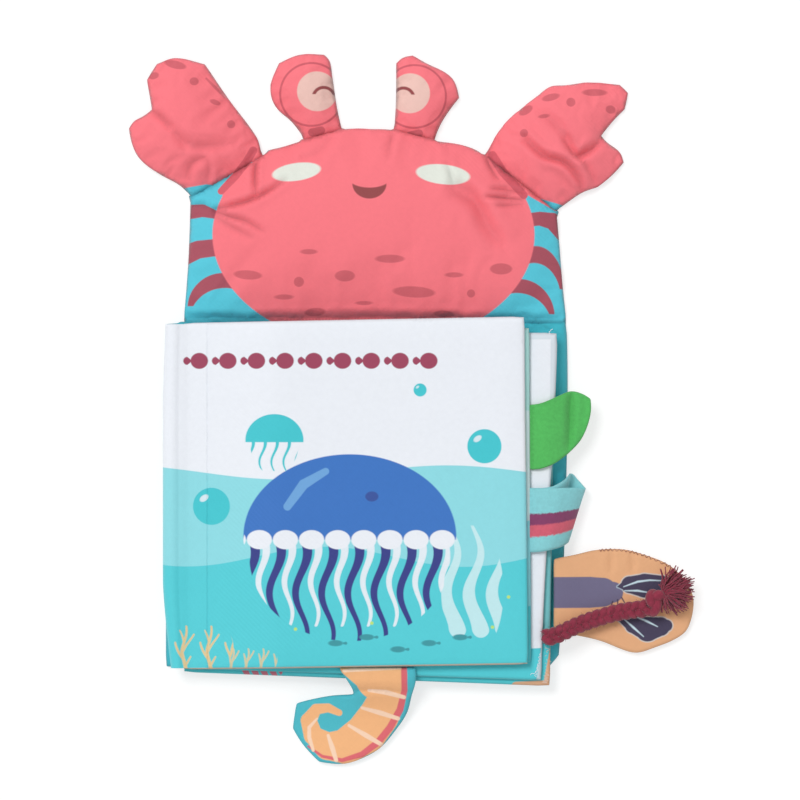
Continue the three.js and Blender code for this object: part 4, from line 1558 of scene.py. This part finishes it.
def paint_jellyfish(art: Print) -> None:
    """Prints a big blue jellyfish in the middle of the cover and a small one above it."""
    reach = art.ellipse(350, 556, 200, 168)
    arms = art.row(263, 26, 6, 13).stroke((276, 524, 11), (276, 640, 4))
    art.paint(Ink.NAVY, art.both(arms, reach))
    frills = art.row(276, 26, 4, 10).stroke((289, 524, 9), (289, 624, 3))
    art.paint(Ink.WHITE, art.both(frills, reach), 0.9)
    bell = art.without(art.ellipse(350, 536, 212, 164), art.stroke((220, 588, 98), (480, 588, 98)))
    art.paint(Ink.BLUE, bell)
    art.paint(Ink.SKY, art.stroke((288, 506, 8), (304, 484, 10), (326, 471, 7)), 0.8)
    scallops = art.row(247, 26).ellipse(260, 539, 25, 19)
    art.paint(Ink.WHITE, art.both(scallops, art.stroke((258, 539, 28), (442, 539, 28))))
    art.paint(Ink.NAVY, art.ellipse(372, 496, 13, 10), 0.7)
    arms = art.row(245, 12, 3, 6).stroke((251, 440, 3.5), (251, 470, 1.5))
    art.paint(Ink.BUBBLE, art.both(arms, art.ellipse(275, 444, 48, 60)))
    bell = art.without(art.ellipse(275, 440, 58, 52), art.stroke((230, 458, 32), (320, 458, 32)))
    art.paint(Ink.BUBBLE, bell)


WEED = (
    ((185, 674, 4), (184, 652, 3.4), (186, 626, 2)),
    ((184, 658, 3), (176, 642, 1.8)),
    ((185, 650, 3), (193, 634, 1.8)),
    ((185, 642, 2.2), (179, 630, 1.4)),
    ((184, 666, 2.4), (192, 656, 1.4)),
)
LOW_WEED = (
    ((233, 674, 3), (233, 648, 1.6)),
    ((233, 664, 2.4), (228, 653, 1.4)),
    ((233, 660, 2.4), (238, 650, 1.4)),
)


@dataclass
class Tags:
    """The leaf, the striped loop and the two padded tails."""

    ribbon: float = 1.2 * MM

    def build(self, dress: Dress) -> None:
        """Builds the tags."""
        green = Cloth(
            "green fleece", Ink.LEAF, Hand.FLEECE, roughness=0.92, sheen=0.3, depth=0.25 * MM, mottle=0.3
        )
        fleece = green.dye(dress.tools)
        leaf = Pad(
            name="leaf_fleece",
            body="leaf",
            slot="green_fleece",
            cad=("leaf_rear_layer", "leaf_rear_layer", "leaf_front_layer"),
            spacing=1.5 * MM,
            smoothing=10,
            creases=(Crease(((571, 389), (570, 420), (568, 452)), 1.9 * MM, 1.8 * MM, 0.6),),
            laid_on=("page_1_pad", "back_cover_pad"),
            seed=51,
            edge=0.8 * MM,
            ripple=0.5 * MM,
            tucks=(((531.5, 404), (531.5, 471), 1.2 * MM),),
        )
        leaf.build(dress, fleece, fleece)
        self._loop(dress)
        orange = Cloth("fan tail print", Ink.ORANGE, crumple=0.6).dye(dress.tools, self.paint_fan)
        plain = Cloth("orange cloth", Ink.ORANGE, crumple=0.6).dye(dress.tools)
        fan = self._tail("fan_tail", "fan_print", FAN_CREASES, 61)
        fan.build(dress, orange, plain)
        curled = Cloth("spiral tail print", Ink.SPIRAL_TEAL, crumple=0.6)
        spiral = curled.dye(dress.tools, self.paint_spiral)
        teal = Cloth("spiral tail rear", Ink.TEAL, crumple=0.6).dye(dress.tools)
        self._tail("spiral_tail", "spiral_print", SPIRAL_CREASES, 71).build(dress, spiral, teal)

    @staticmethod
    def _tail(name: str, slot: str, creases: tuple[Crease, ...], seed: int) -> Pad:
        """Gives the pad of one tail."""
        return Pad(
            name=f"{name}_pad",
            body=name,
            slot=slot,
            cad=(f"{name}_rear_panel", f"{name}_padding", f"{name}_front_panel"),
            spacing=1.7 * MM,
            smoothing=14,
            pucker=0.25 * MM,
            creases=creases,
            ripple=0.12 * MM,
            fill=0.4,
            seed=seed,
        )

    def _loop(self, dress: Dress) -> None:
        """Builds the striped ribbon, folded into a loop past the pages' edge."""
        steps, rows = 70, 20
        line = smooth_line([(x * MM, z * MM, shift * MM, wide) for x, z, shift, wide in LOOP_PATH], steps)
        low = LOOP_LOW * MM
        width = LOOP_WIDTH * MM
        middle = np.array([(x, z) for x, z, _, _ in line])
        across = left_of(np.gradient(middle, axis=0))
        points, shares = [], []
        for side in (1, -1):
            for i, (x, z, shift, wide) in enumerate(line):
                root = min(i, steps - i) / 6
                half = self.ribbon / 2 * min(1.0, 0.3 + 0.7 * root)
                out = (x - middle[0, 0]) / (LOOP_REACH * MM)
                for j in range(rows + 1):
                    v = j / rows
                    edge = 1 - 0.5 * max(0.0, abs(2 * v - 1) - 0.86) / 0.14
                    place = middle[i] + across[i] * side * half * edge
                    slant = 1 - 0.3 * (1 - v)
                    lifted = 3.4 * MM * max(out, 0.0) ** 2 * (1 - v) ** 0.4
                    y = low + width * (0.5 + (v - 0.5) * wide) + shift + lifted
                    points.append((middle[0, 0] + (place[0] - middle[0, 0]) * slant, y, place[1]))
                    shares.append(v)
        cloth = Cloth(
            "striped fleece", Ink.RIBBON, Hand.FLEECE, roughness=0.9, sheen=0.3, depth=0.2 * MM, mottle=0.25
        )
        material = cloth.dye(dress.tools, self.paint_stripes)
        loop = make_object("striped_loop_ribbon", points, self._ribbon_faces(steps, rows), [material])
        layer = loop.data.attributes.new("across", "FLOAT", "POINT")
        layer.data.foreach_set("value", shares)
        settle(loop, "loop", "striped_fleece", "striped_loop")

    @staticmethod
    def _ribbon_faces(steps: int, rows: int) -> list[tuple[int, ...]]:
        """Joins the ribbon's two layers of points at all four edges.

        Args:
            steps: How many spans it has along its length.
            rows: How many spans it has across.

        Returns:
            The faces.
        """
        sheet = (steps + 1) * (rows + 1)

        def at(side: int, i: int, j: int) -> int:
            """Gives the number of a point."""
            return side * sheet + i * (rows + 1) + j

        faces = []
        for i in range(steps):
            for j in range(rows):
                faces.append((at(0, i, j), at(0, i + 1, j), at(0, i + 1, j + 1), at(0, i, j + 1)))
                faces.append((at(1, i, j), at(1, i, j + 1), at(1, i + 1, j + 1), at(1, i + 1, j)))
            for j in (0, rows):
                quad = (at(0, i, j), at(1, i, j), at(1, i + 1, j), at(0, i + 1, j))
                faces.append(quad if j == 0 else quad[::-1])
        for i in (0, steps):
            for j in range(rows):
                quad = (at(0, i, j), at(0, i, j + 1), at(1, i, j + 1), at(1, i, j))
                faces.append(quad if i == 0 else quad[::-1])
        return faces

    @staticmethod
    def paint_stripes(art: Print) -> None:
        """Prints the stripes along the ribbon, by how far across it a point lies."""
        graph = art.graph
        across = graph.node("ShaderNodeAttribute", attribute_name="across").outputs["Fac"]
        ragged = graph.math("MULTIPLY_ADD", graph.noise(art.metres, 900.0, 3.0), 0.05, across)
        for ink, low, high in ((Ink.PINK_RED, 0.225, 0.46), (Ink.PURPLE, 0.41, 0.61)):
            above = graph.math("MULTIPLY_ADD", ragged, 40.0, -40.0 * (low + 0.025), clamp=True)
            below = graph.math("MULTIPLY_ADD", ragged, -40.0, 40.0 * (high + 0.025), clamp=True)
            art.paint(ink, art.both(above, below))

    @staticmethod
    def paint_fan(art: Print) -> None:
        """Prints the fan tail: a slate bar that ends in two dark lobes with pale strokes."""
        art.paint(Ink.SLATE, art.stroke(*FAN_BAR))
        for lobe in FAN_LOBES:
            art.paint(Ink.STROKE, art.stroke(*((x, y, width + 2) for x, y, width in lobe)), 0.6)
            art.paint(Ink.DARK, art.stroke(*lobe))
        for places in FAN_STROKES:
            art.paint(Ink.STROKE, art.stroke(*places))
        for places in FAN_LASHES:
            art.paint(Ink.DARK, art.stroke(*places))

    @staticmethod
    def paint_spiral(art: Print) -> None:
        """Prints the spiral tail: an orange curl with pale bands across and a pink outer edge."""
        curl = art.stroke(*SPIRAL_CURL)
        art.paint(Ink.SPIRAL, curl)
        art.paint(Ink.EDGE_PINK, art.stroke(*SPIRAL_EDGE), 0.85)
        for places in SPIRAL_BANDS:
            art.paint(Ink.BAND, art.stroke(*places))


FAN_CREASES = (
    Crease(((610, 553), (611, 562), (610, 574)), 0.8 * MM, 1.8 * MM),
    Crease(((631, 554), (633, 564), (631, 574)), 0.7 * MM, 1.8 * MM),
)
SPIRAL_CREASES = (Crease(((344, 690), (375, 689), (412, 691)), 0.9 * MM, 2.0 * MM),)
FAN_BAR = ((540, 592.5, 31), (590, 592.5, 31), (603, 592.5, 29), (613, 592.5, 21), (619, 592.5, 9))
FAN_LOBES = (
    ((618, 587, 1), (630, 585, 17), (645, 586, 24), (662, 587, 22), (674, 588, 12)),
    ((620, 621, 2), (633, 626, 15), (648, 629.5, 25), (661, 627, 19), (667, 626, 12)),
)
FAN_STROKES = (
    ((624, 587, 0.8), (638, 582, 2), (650, 580.5, 1.6), (662, 581, 0.8)),
    ((625, 591, 0.8), (638, 591, 2), (650, 593, 0.8)),
    ((636, 617, 0.8), (647, 621.5, 2.2), (658, 627, 0.8)),
    ((625, 620, 0.8), (634, 628, 2.2), (644, 637, 0.8)),
)
FAN_LASHES = (
    ((613, 602, 1.4), (611, 607, 1)),
    ((618, 600, 1.4), (618, 606, 1)),
    ((622, 598, 1.4), (625, 603, 1)),
)
SPIRAL_CURL = (
    (374, 658, 70), (381, 675, 52), (388.5, 688, 37), (386.5, 700, 37), (379, 716, 40), (366, 734, 41),
    (346, 747, 36), (328, 747, 28), (313, 736, 19), (308.5, 721, 16), (316, 709.5, 11), (328, 708, 9),
    (339, 713, 6.5),
)
SPIRAL_EDGE = (
    (404, 664, 6), (404.5, 690, 6), (400, 710, 7), (390, 728, 7), (378, 743, 7), (362, 755, 6), (342, 761, 4),
    (322, 757, 3), (308, 747, 2),
)
SPIRAL_BANDS = (
    ((344, 670, 3), (362, 668, 5), (400, 667, 3)),
    ((369, 690, 3), (386, 692, 5), (404, 697, 4)),
    ((362, 708, 3), (380, 713, 5), (398, 719, 4)),
    ((349, 726, 3), (366, 736, 5), (381, 745, 4)),
    ((328, 736, 3), (332, 748, 5), (336, 761, 4)),
    ((317, 719, 2), (309, 728, 3.6), (309, 738, 4), (313, 751, 3)),
)

# The loop in millimetres: its reach past the seam, its lower edge and width, and along its middle line the
# place as X and Z, how far it shifts in Y and its share of the full width
LOOP_REACH = 26.5
LOOP_LOW = -27.2
LOOP_WIDTH = 31.8
LOOP_PATH = (
    (76.3, 18.1, 0, 1), (77.9, 18.2, 0, 1), (80.4, 18.45, 0, 1), (84.1, 18.46, 0, 1), (88.0, 18.1, 0, 1),
    (92.0, 17.2, 0, 1), (98.9, 13.6, 0, 1), (103.2, 9.8, 0, 0.96), (104.4, 6.6, 0.3, 0.94),
    (103.5, 3.7, 2.0, 0.92), (100.9, 2.2, 4.8, 0.94), (98.6, 2.7, 6.4, 1), (97.0, 4.8, 7.0, 1),
    (96.4, 8.0, 6.4, 1), (94.5, 11.2, 4.4, 1), (91.1, 14.6, 2.2, 1), (87.2, 16.5, 0.6, 1),
    (82.6, 17.2, 0, 1), (77.9, 17.5, 0, 1), (76.3, 17.6, 0, 1),
)


def smooth_line(places: Sequence[Sequence[float]], steps: int) -> np.ndarray:
    """Draws a smooth line through places of any number of values.

    Args:
        places: The places, in order.
        steps: How many equal steps to divide it into.

    Returns:
        Points along the line, one more than the steps.
    """
    table = np.array(places, float)
    spans = len(table) - 1
    result = []
    for k in np.linspace(0, spans, steps + 1):
        i = min(int(k), spans - 1)
        t = k - i
        p = [table[min(max(i + d, 0), spans)] for d in (-1, 0, 1, 2)]
        result.append(
            0.5
            * (
                2 * p[1]
                + (p[2] - p[0]) * t
                + (2 * p[0] - 5 * p[1] + 4 * p[2] - p[3]) * t**2
                + (3 * p[1] - p[0] - 3 * p[2] + p[3]) * t**3
            )
        )
    return np.array(result)


def ring_faces(spans: int, sides: int) -> list[tuple[int, ...]]:
    """Joins rings of points into a closed tube.

    Args:
        spans: How many gaps between rings there are.
        sides: How many points each ring has.

    Returns:
        The faces, with the two end caps last.
    """
    faces = []
    for j in range(spans):
        for i in range(sides):
            k = (i + 1) % sides
            faces.append((j * sides + i, (j + 1) * sides + i, (j + 1) * sides + k, j * sides + k))
    faces.append(tuple(range(sides)))
    faces.append(tuple(spans * sides + i for i in reversed(range(sides))))
    return faces


def tube(line: np.ndarray, radii: np.ndarray, sides: int) -> tuple[list, list]:
    """Sweeps a round tube along a line.

    Args:
        line: The centre line's points.
        radii: The radius at each point.
        sides: How many sides the tube has.

    Returns:
        The tube's points and faces, closed at both ends.
    """
    points = []
    ahead = np.gradient(line, axis=0)
    ahead /= np.linalg.norm(ahead, axis=1)[:, None]
    side = np.cross(ahead[0], (0.0, 0.0, 1.0))
    if np.linalg.norm(side) < 0.2:
        side = np.cross(ahead[0], (0.0, 1.0, 0.0))
    for centre, direction, radius in zip(line, ahead, radii):
        side = side - direction * np.dot(side, direction)
        side = side / np.linalg.norm(side)
        up = np.cross(direction, side)
        for i in range(sides):
            angle = 2 * math.pi * i / sides
            points.append(centre + radius * (math.cos(angle) * side + math.sin(angle) * up))
    return points, ring_faces(len(line) - 1, sides)


def gathered(parts: Iterable[tuple[list, list]]) -> tuple[list, list]:
    """Joins several lots of points and faces into one."""
    points, faces = [], []
    for some, shape in parts:
        shift = len(points)
        points += list(some)
        faces += [tuple(i + shift for i in face) for face in shape]
    return points, faces


ROPE_ROUTE = (
    (84, -69.4, 16.6), (87, -69, 16.5), (90, -68.1, 16.1), (93.5, -66.6, 15.3), (97, -64.9, 14.2),
    (101, -63.2, 13.2), (105, -61.7, 12.3), (109.5, -60.2, 11.6), (114, -58.9, 11.2), (119, -57.5, 10.9),
    (124, -56.5, 10.8), (129, -55.8, 10.7), (133, -55.4, 10.7), (135.5, -54.6, 10.9),
)


@dataclass
class Rope:
    """The braided rope with its knot and frayed end."""

    diameter: float = 8.0 * MM
    strand: float = 2.2 * MM
    braid_pitch: float = 12.0 * MM
    braid_flatness: float = 0.62
    hair_root_mm: float = 2.9
    knot_lean_deg: float = -12
    knot: tuple[float, float, float] = (138.7 * MM, -51.8 * MM, 11.5 * MM)
    fray: tuple[float, float, float] = (143.5 * MM, -46.8 * MM, 11.4 * MM)
    strands: int = 260
    hairs: int = 420

    def build(self, dress: Dress) -> None:
        """Builds the rope, knot and frayed end."""
        finish = Cloth("maroon braid", Ink.ROPE, roughness=0.95, sheen=0.25, depth=0.35 * MM, mottle=0.5)
        yarn = finish.dye(dress.tools, self.paint_yarn)
        pale = Cloth("pale thread", Ink.THREAD_GREY, roughness=0.9).dye(dress.tools)
        route = smooth_line([tuple(v * MM for v in place) for place in ROPE_ROUTE], 150)
        rope = make_object("braided_rope", *self._braid(route), [yarn])
        bend = Bend("page_2", tuple(route[0]), tuple(route[0] + np.array([9.0, 0.0, 0.0]) * MM))
        settle(rope, "rope", "maroon_braid", "rope", bend=bend)
        knot = make_object("rope_overhand_knot", *self._knot(), [yarn])
        settle(knot, "rope", "maroon_braid", "rope_knot")
        end = make_object("rope_frayed_end", *self._fray(random.Random(7), self.strands), [yarn])
        settle(end, "rope", "maroon_braid", "rope_tassel")
        stray = make_object("rope_stray_thread", *self._fray(random.Random(3), 1), [pale])
        settle(stray, "rope", "maroon_braid")

    @staticmethod
    def paint_yarn(art: Print) -> None:
        """Darkens some of the yarns."""
        graph = art.graph
        art.paint(Ink.ROPE_DARK, graph.noise(art.metres, 520.0, 3.0, 0.8), 0.75)

    def _braid(self, route: np.ndarray) -> tuple[list, list]:
        """Plaits three strands along the route."""
        ahead = np.gradient(route, axis=0)
        ahead /= np.linalg.norm(ahead, axis=1)[:, None]
        side = np.cross(ahead, (0.0, 0.0, 1.0))
        side /= np.linalg.norm(side, axis=1)[:, None]
        up = np.cross(side, ahead)
        place = np.concatenate([[0], np.cumsum(np.linalg.norm(np.diff(route, axis=0), axis=1))])
        wide = 0.55 * self.diameter - self.strand
        parts = []
        for k in range(3):
            angle = 2 * np.pi * (place / self.braid_pitch + k / 3)
            line = route + side * (wide * np.sin(angle))[:, None]
            line = line + up * (self.braid_flatness * wide * np.sin(2 * angle))[:, None]
            parts.append(tube(line, np.full(len(line), self.strand), 12))
        return gathered([*parts, *self._hairs(route, random.Random(5))])

    def _hairs(self, route: np.ndarray, dice: random.Random) -> list[tuple[list, list]]:
        """Scatters short loose fibres over the rope."""
        parts = []
        for _ in range(self.hairs):
            centre = route[dice.randrange(4, len(route) - 2)]
            angle = dice.uniform(0, 2 * math.pi)
            out = np.array([dice.uniform(-0.6, 0.6), math.cos(angle), math.sin(angle)])
            root = centre + out * self.hair_root_mm * MM
            tip = root + (out * 1.3 + np.array([dice.uniform(-1, 1) for _ in range(3)])) * MM
            line = np.array([root, (root + tip) / 2 + 0.25 * MM, tip])
            parts.append(tube(line, np.array([0.16, 0.13, 0.08]) * MM, 3))
        return parts

    def _knot(self) -> tuple[list, list]:
        """Ties an overhand knot of the rope."""
        turn = np.linspace(0, 2 * np.pi, 121)
        lobes = np.stack(
            [
                (np.sin(turn) + 2 * np.sin(2 * turn)) / 3 * 2.7 * MM,
                (np.cos(turn) - 2 * np.cos(2 * turn)) / 3 * 5.2 * MM,
                -np.sin(3 * turn) * 2.3 * MM,
            ],
            1,
        )
        lean = math.radians(self.knot_lean_deg)
        cos, sin = math.cos(lean), math.sin(lean)
        lobes[:, :2] = lobes[:, :2] @ np.array([[cos, sin], [-sin, cos]])
        line = lobes + np.array(self.knot)
        thick = (2.55 + 0.2 * np.sin(5 * turn)) * MM
        return tube(line, thick, 14)

    def _fray(self, dice: random.Random, count: int) -> tuple[list, list]:
        """Fans out the loose threads of the rope's end.

        Args:
            dice: The seeded source of chance.
            count: How many threads.

        Returns:
            Their points and faces.
        """
        root = np.array(self.fray)
        parts = []
        for _ in range(count):
            aim = dice.gauss(0, 0.75)
            lift = dice.uniform(-1, 1)
            reach = 1 / math.hypot(math.cos(aim) / 16.6, math.sin(aim) / 12.6)
            reach *= (0.45 if abs(aim) > 1.7 else 1.0) * dice.uniform(0.6, 0.98) * MM
            heading = np.array([math.cos(aim), math.sin(aim), 0.0])
            start = root + np.array([-1.0, 2.0 * dice.uniform(-1, 1), 1.6 * lift]) * MM
            t = np.linspace(0, 1, 11)[:, None]
            curl = np.array([dice.uniform(-1, 1), dice.uniform(-1, 1), 0.0]) * 1.5 * MM
            rise = np.array([0.0, 0.0, (2.9 * lift) * MM])
            swirl = curl * np.sin(t * dice.uniform(3, 6)) * t
            line = start + heading * reach * t + swirl + rise * np.sin(t * 2.2)
            parts.append(tube(line, np.linspace(0.44, 0.26, 11) * MM, 4))
        return gathered(parts)


@dataclass
class Threads:
    """The overlock stitches and loose ends that show along some edges."""

    radius: float = 0.15 * MM
    lift: float = 0.12 * MM

    def build(self, dress: Dress) -> None:
        """Sews the threads over the pads that are already built."""
        for name, body, slot, ink, rows in THREADS:
            cloth = Cloth(f"{name} thread", ink, roughness=0.9).dye(dress.tools)
            host = bpy.data.objects[name]
            parts = [self._stitches(host, *row) for row in rows]
            piece = make_object(f"{name}_thread", *gathered(parts), [cloth])
            settle(piece, body, slot)

    def _stitches(
        self, host: bpy.types.Object, places: Sequence[Point], pitch: float, swing: float
    ) -> tuple[list, list]:
        """Runs a zigzag of thread over a pad.

        Args:
            host: The pad that it lies on.
            places: The line that it follows, in photograph pixels.
            pitch: The length of one stitch, in pixels.
            swing: How far it swings to either side, in pixels.

        Returns:
            The thread's points and faces.
        """
        steps = max(2, round(length_of(np.array(places)) / pitch))
        line = smooth_line(places, steps)
        across = left_of(np.gradient(line, axis=0))
        dice = np.random.default_rng(steps)
        reach = swing * (1 + 0.3 * dice.uniform(-1, 1, steps + 1)) * np.where(np.arange(steps + 1) % 2, 1, -1)
        xy = np.array([from_photo(*place) for place in line + across * reach[:, None]])
        heights = surface_heights(host, xy, True) + self.lift
        route = smooth_line(np.column_stack([xy, heights]), 3 * steps)
        return tube(route, np.full(len(route), self.radius), 5)


# Each thread's pad, body, slot and ink, and for each of its runs the line, the stitch length and the swing
# in pixels
THREADS = (
    (
        "page_3_pad",
        "page_3",
        "peach_cloth",
        Ink.PALE_THREAD,
        ((((547.5, 640), (548, 664), (545, 683)), 1.6, 2.4),),
    ),
    (
        "page_2_pad",
        "page_2",
        "white_cloth",
        Ink.WHITE,
        (
            (((540, 653), (538, 664), (535, 676)), 1.7, 0.9),
            (((538, 664), (536, 671), (530, 674)), 2.4, 0.6),
            (((549, 335), (549.4, 331.5), (552.5, 329)), 1.6, 0.3),
        ),
    ),
    (
        "fan_tail_pad",
        "fan_tail",
        "fan_print",
        Ink.STITCH,
        ((((600, 550.6), (612, 550), (627, 551.2), (640, 554.4), (655, 559.8), (672, 567)), 2.3, 1.2),),
    ),
)

# Each lamp's name, power, tilt and turn in degrees, and spread in degrees
LAMPS = (("key", 1.7, 30, 222, 22), ("fill", 0.2, 30, 20, 60))


@dataclass
class Studio:
    """The floor, lights, world and camera."""

    distance: float = 2.6
    focus_height: float = 0.01

    def build(self) -> None:
        """Builds the studio."""
        scene = bpy.context.scene
        scene.view_settings.view_transform = "Standard"
        self._camera(scene)
        self._floor()
        self._light(scene)

    def _camera(self, scene: bpy.types.Scene) -> None:
        """Looks straight down on the middle of the photograph."""
        lens = bpy.data.cameras.new("camera")
        lens.sensor_width = 36.0
        lens.lens = 36.0 * (self.distance - self.focus_height) * PIXELS_PER_METRE / IMAGE_PX
        lens.clip_end = 20.0
        camera = bpy.data.objects.new("camera", lens)
        camera.location = (*from_photo(IMAGE_PX / 2, IMAGE_PX / 2), self.distance)
        scene.collection.objects.link(camera)
        scene.camera = camera

    @staticmethod
    def _floor() -> None:
        """Lays a plain pale floor that shows white to the camera and keeps shadows."""
        size, level = 6.0, -0.4 * MM
        corners = [(x * size, y * size, level) for x, y in ((-1, -1), (1, -1), (1, 1), (-1, 1))]
        material = bpy.data.materials.new("pale floor")
        material.use_nodes = True
        graph = Graph(material.node_tree)
        shader = material.node_tree.nodes["Principled BSDF"]
        shader.inputs["Base Color"].default_value = Ink.FLOOR.linear
        shader.inputs["Roughness"].default_value = 0.9
        rays = graph.node("ShaderNodeLightPath")
        glow = graph.node("ShaderNodeEmission")
        glow.inputs["Strength"].default_value = 1.12
        both = graph.node("ShaderNodeMixShader")
        both.inputs[0].default_value = 0.6
        graph.feed(both.inputs[1], shader.outputs[0])
        graph.feed(both.inputs[2], glow.outputs[0])
        choice = graph.node("ShaderNodeMixShader")
        graph.feed(choice.inputs[0], rays.outputs["Is Camera Ray"])
        graph.feed(choice.inputs[1], shader.outputs[0])
        graph.feed(choice.inputs[2], both.outputs[0])
        graph.feed(material.node_tree.nodes["Material Output"].inputs["Surface"], choice.outputs[0])
        floor = make_object("floor", corners, [(0, 1, 2, 3)], [material])

    @staticmethod
    def _light(scene: bpy.types.Scene) -> None:
        """Lights the object with a soft sun and a pale world."""
        world = bpy.data.worlds.new("studio")
        scene.world = world
        world.use_nodes = True
        graph = Graph(world.node_tree)
        rays = graph.node("ShaderNodeLightPath")
        seen = graph.math("MAXIMUM", rays.outputs["Is Camera Ray"], rays.outputs["Is Glossy Ray"])
        seen = graph.math("MAXIMUM", seen, rays.outputs["Is Transmission Ray"])
        lamp = world.node_tree.nodes["Background"]
        graph.feed(lamp.inputs["Strength"], graph.math("MULTIPLY_ADD", seen, 0.54, 0.46))
        lamp.inputs["Color"].default_value = (1.0, 1.0, 1.0, 1.0)
        for name, power, tilt, turn, spread in LAMPS:
            sun = bpy.data.lights.new(name, "SUN")
            sun.energy = power
            sun.angle = math.radians(spread)
            holder = bpy.data.objects.new(name, sun)
            holder.rotation_euler = (math.radians(tilt), 0, math.radians(turn))
            scene.collection.objects.link(holder)


def main() -> None:
    """Builds the book piece by piece on its frame."""
    logging.basicConfig(level=logging.INFO, format="%(message)s")
    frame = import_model()
    Studio().build()
    dress = Dress(frame["nodes"], PrintTools())
    for assembly in (Rope(), Covers(), CrabHead(), Tags(), Threads()):
        assembly.build(dress)
        log.info("built %s", type(assembly).__name__)


if __name__ == "__main__":
    main()
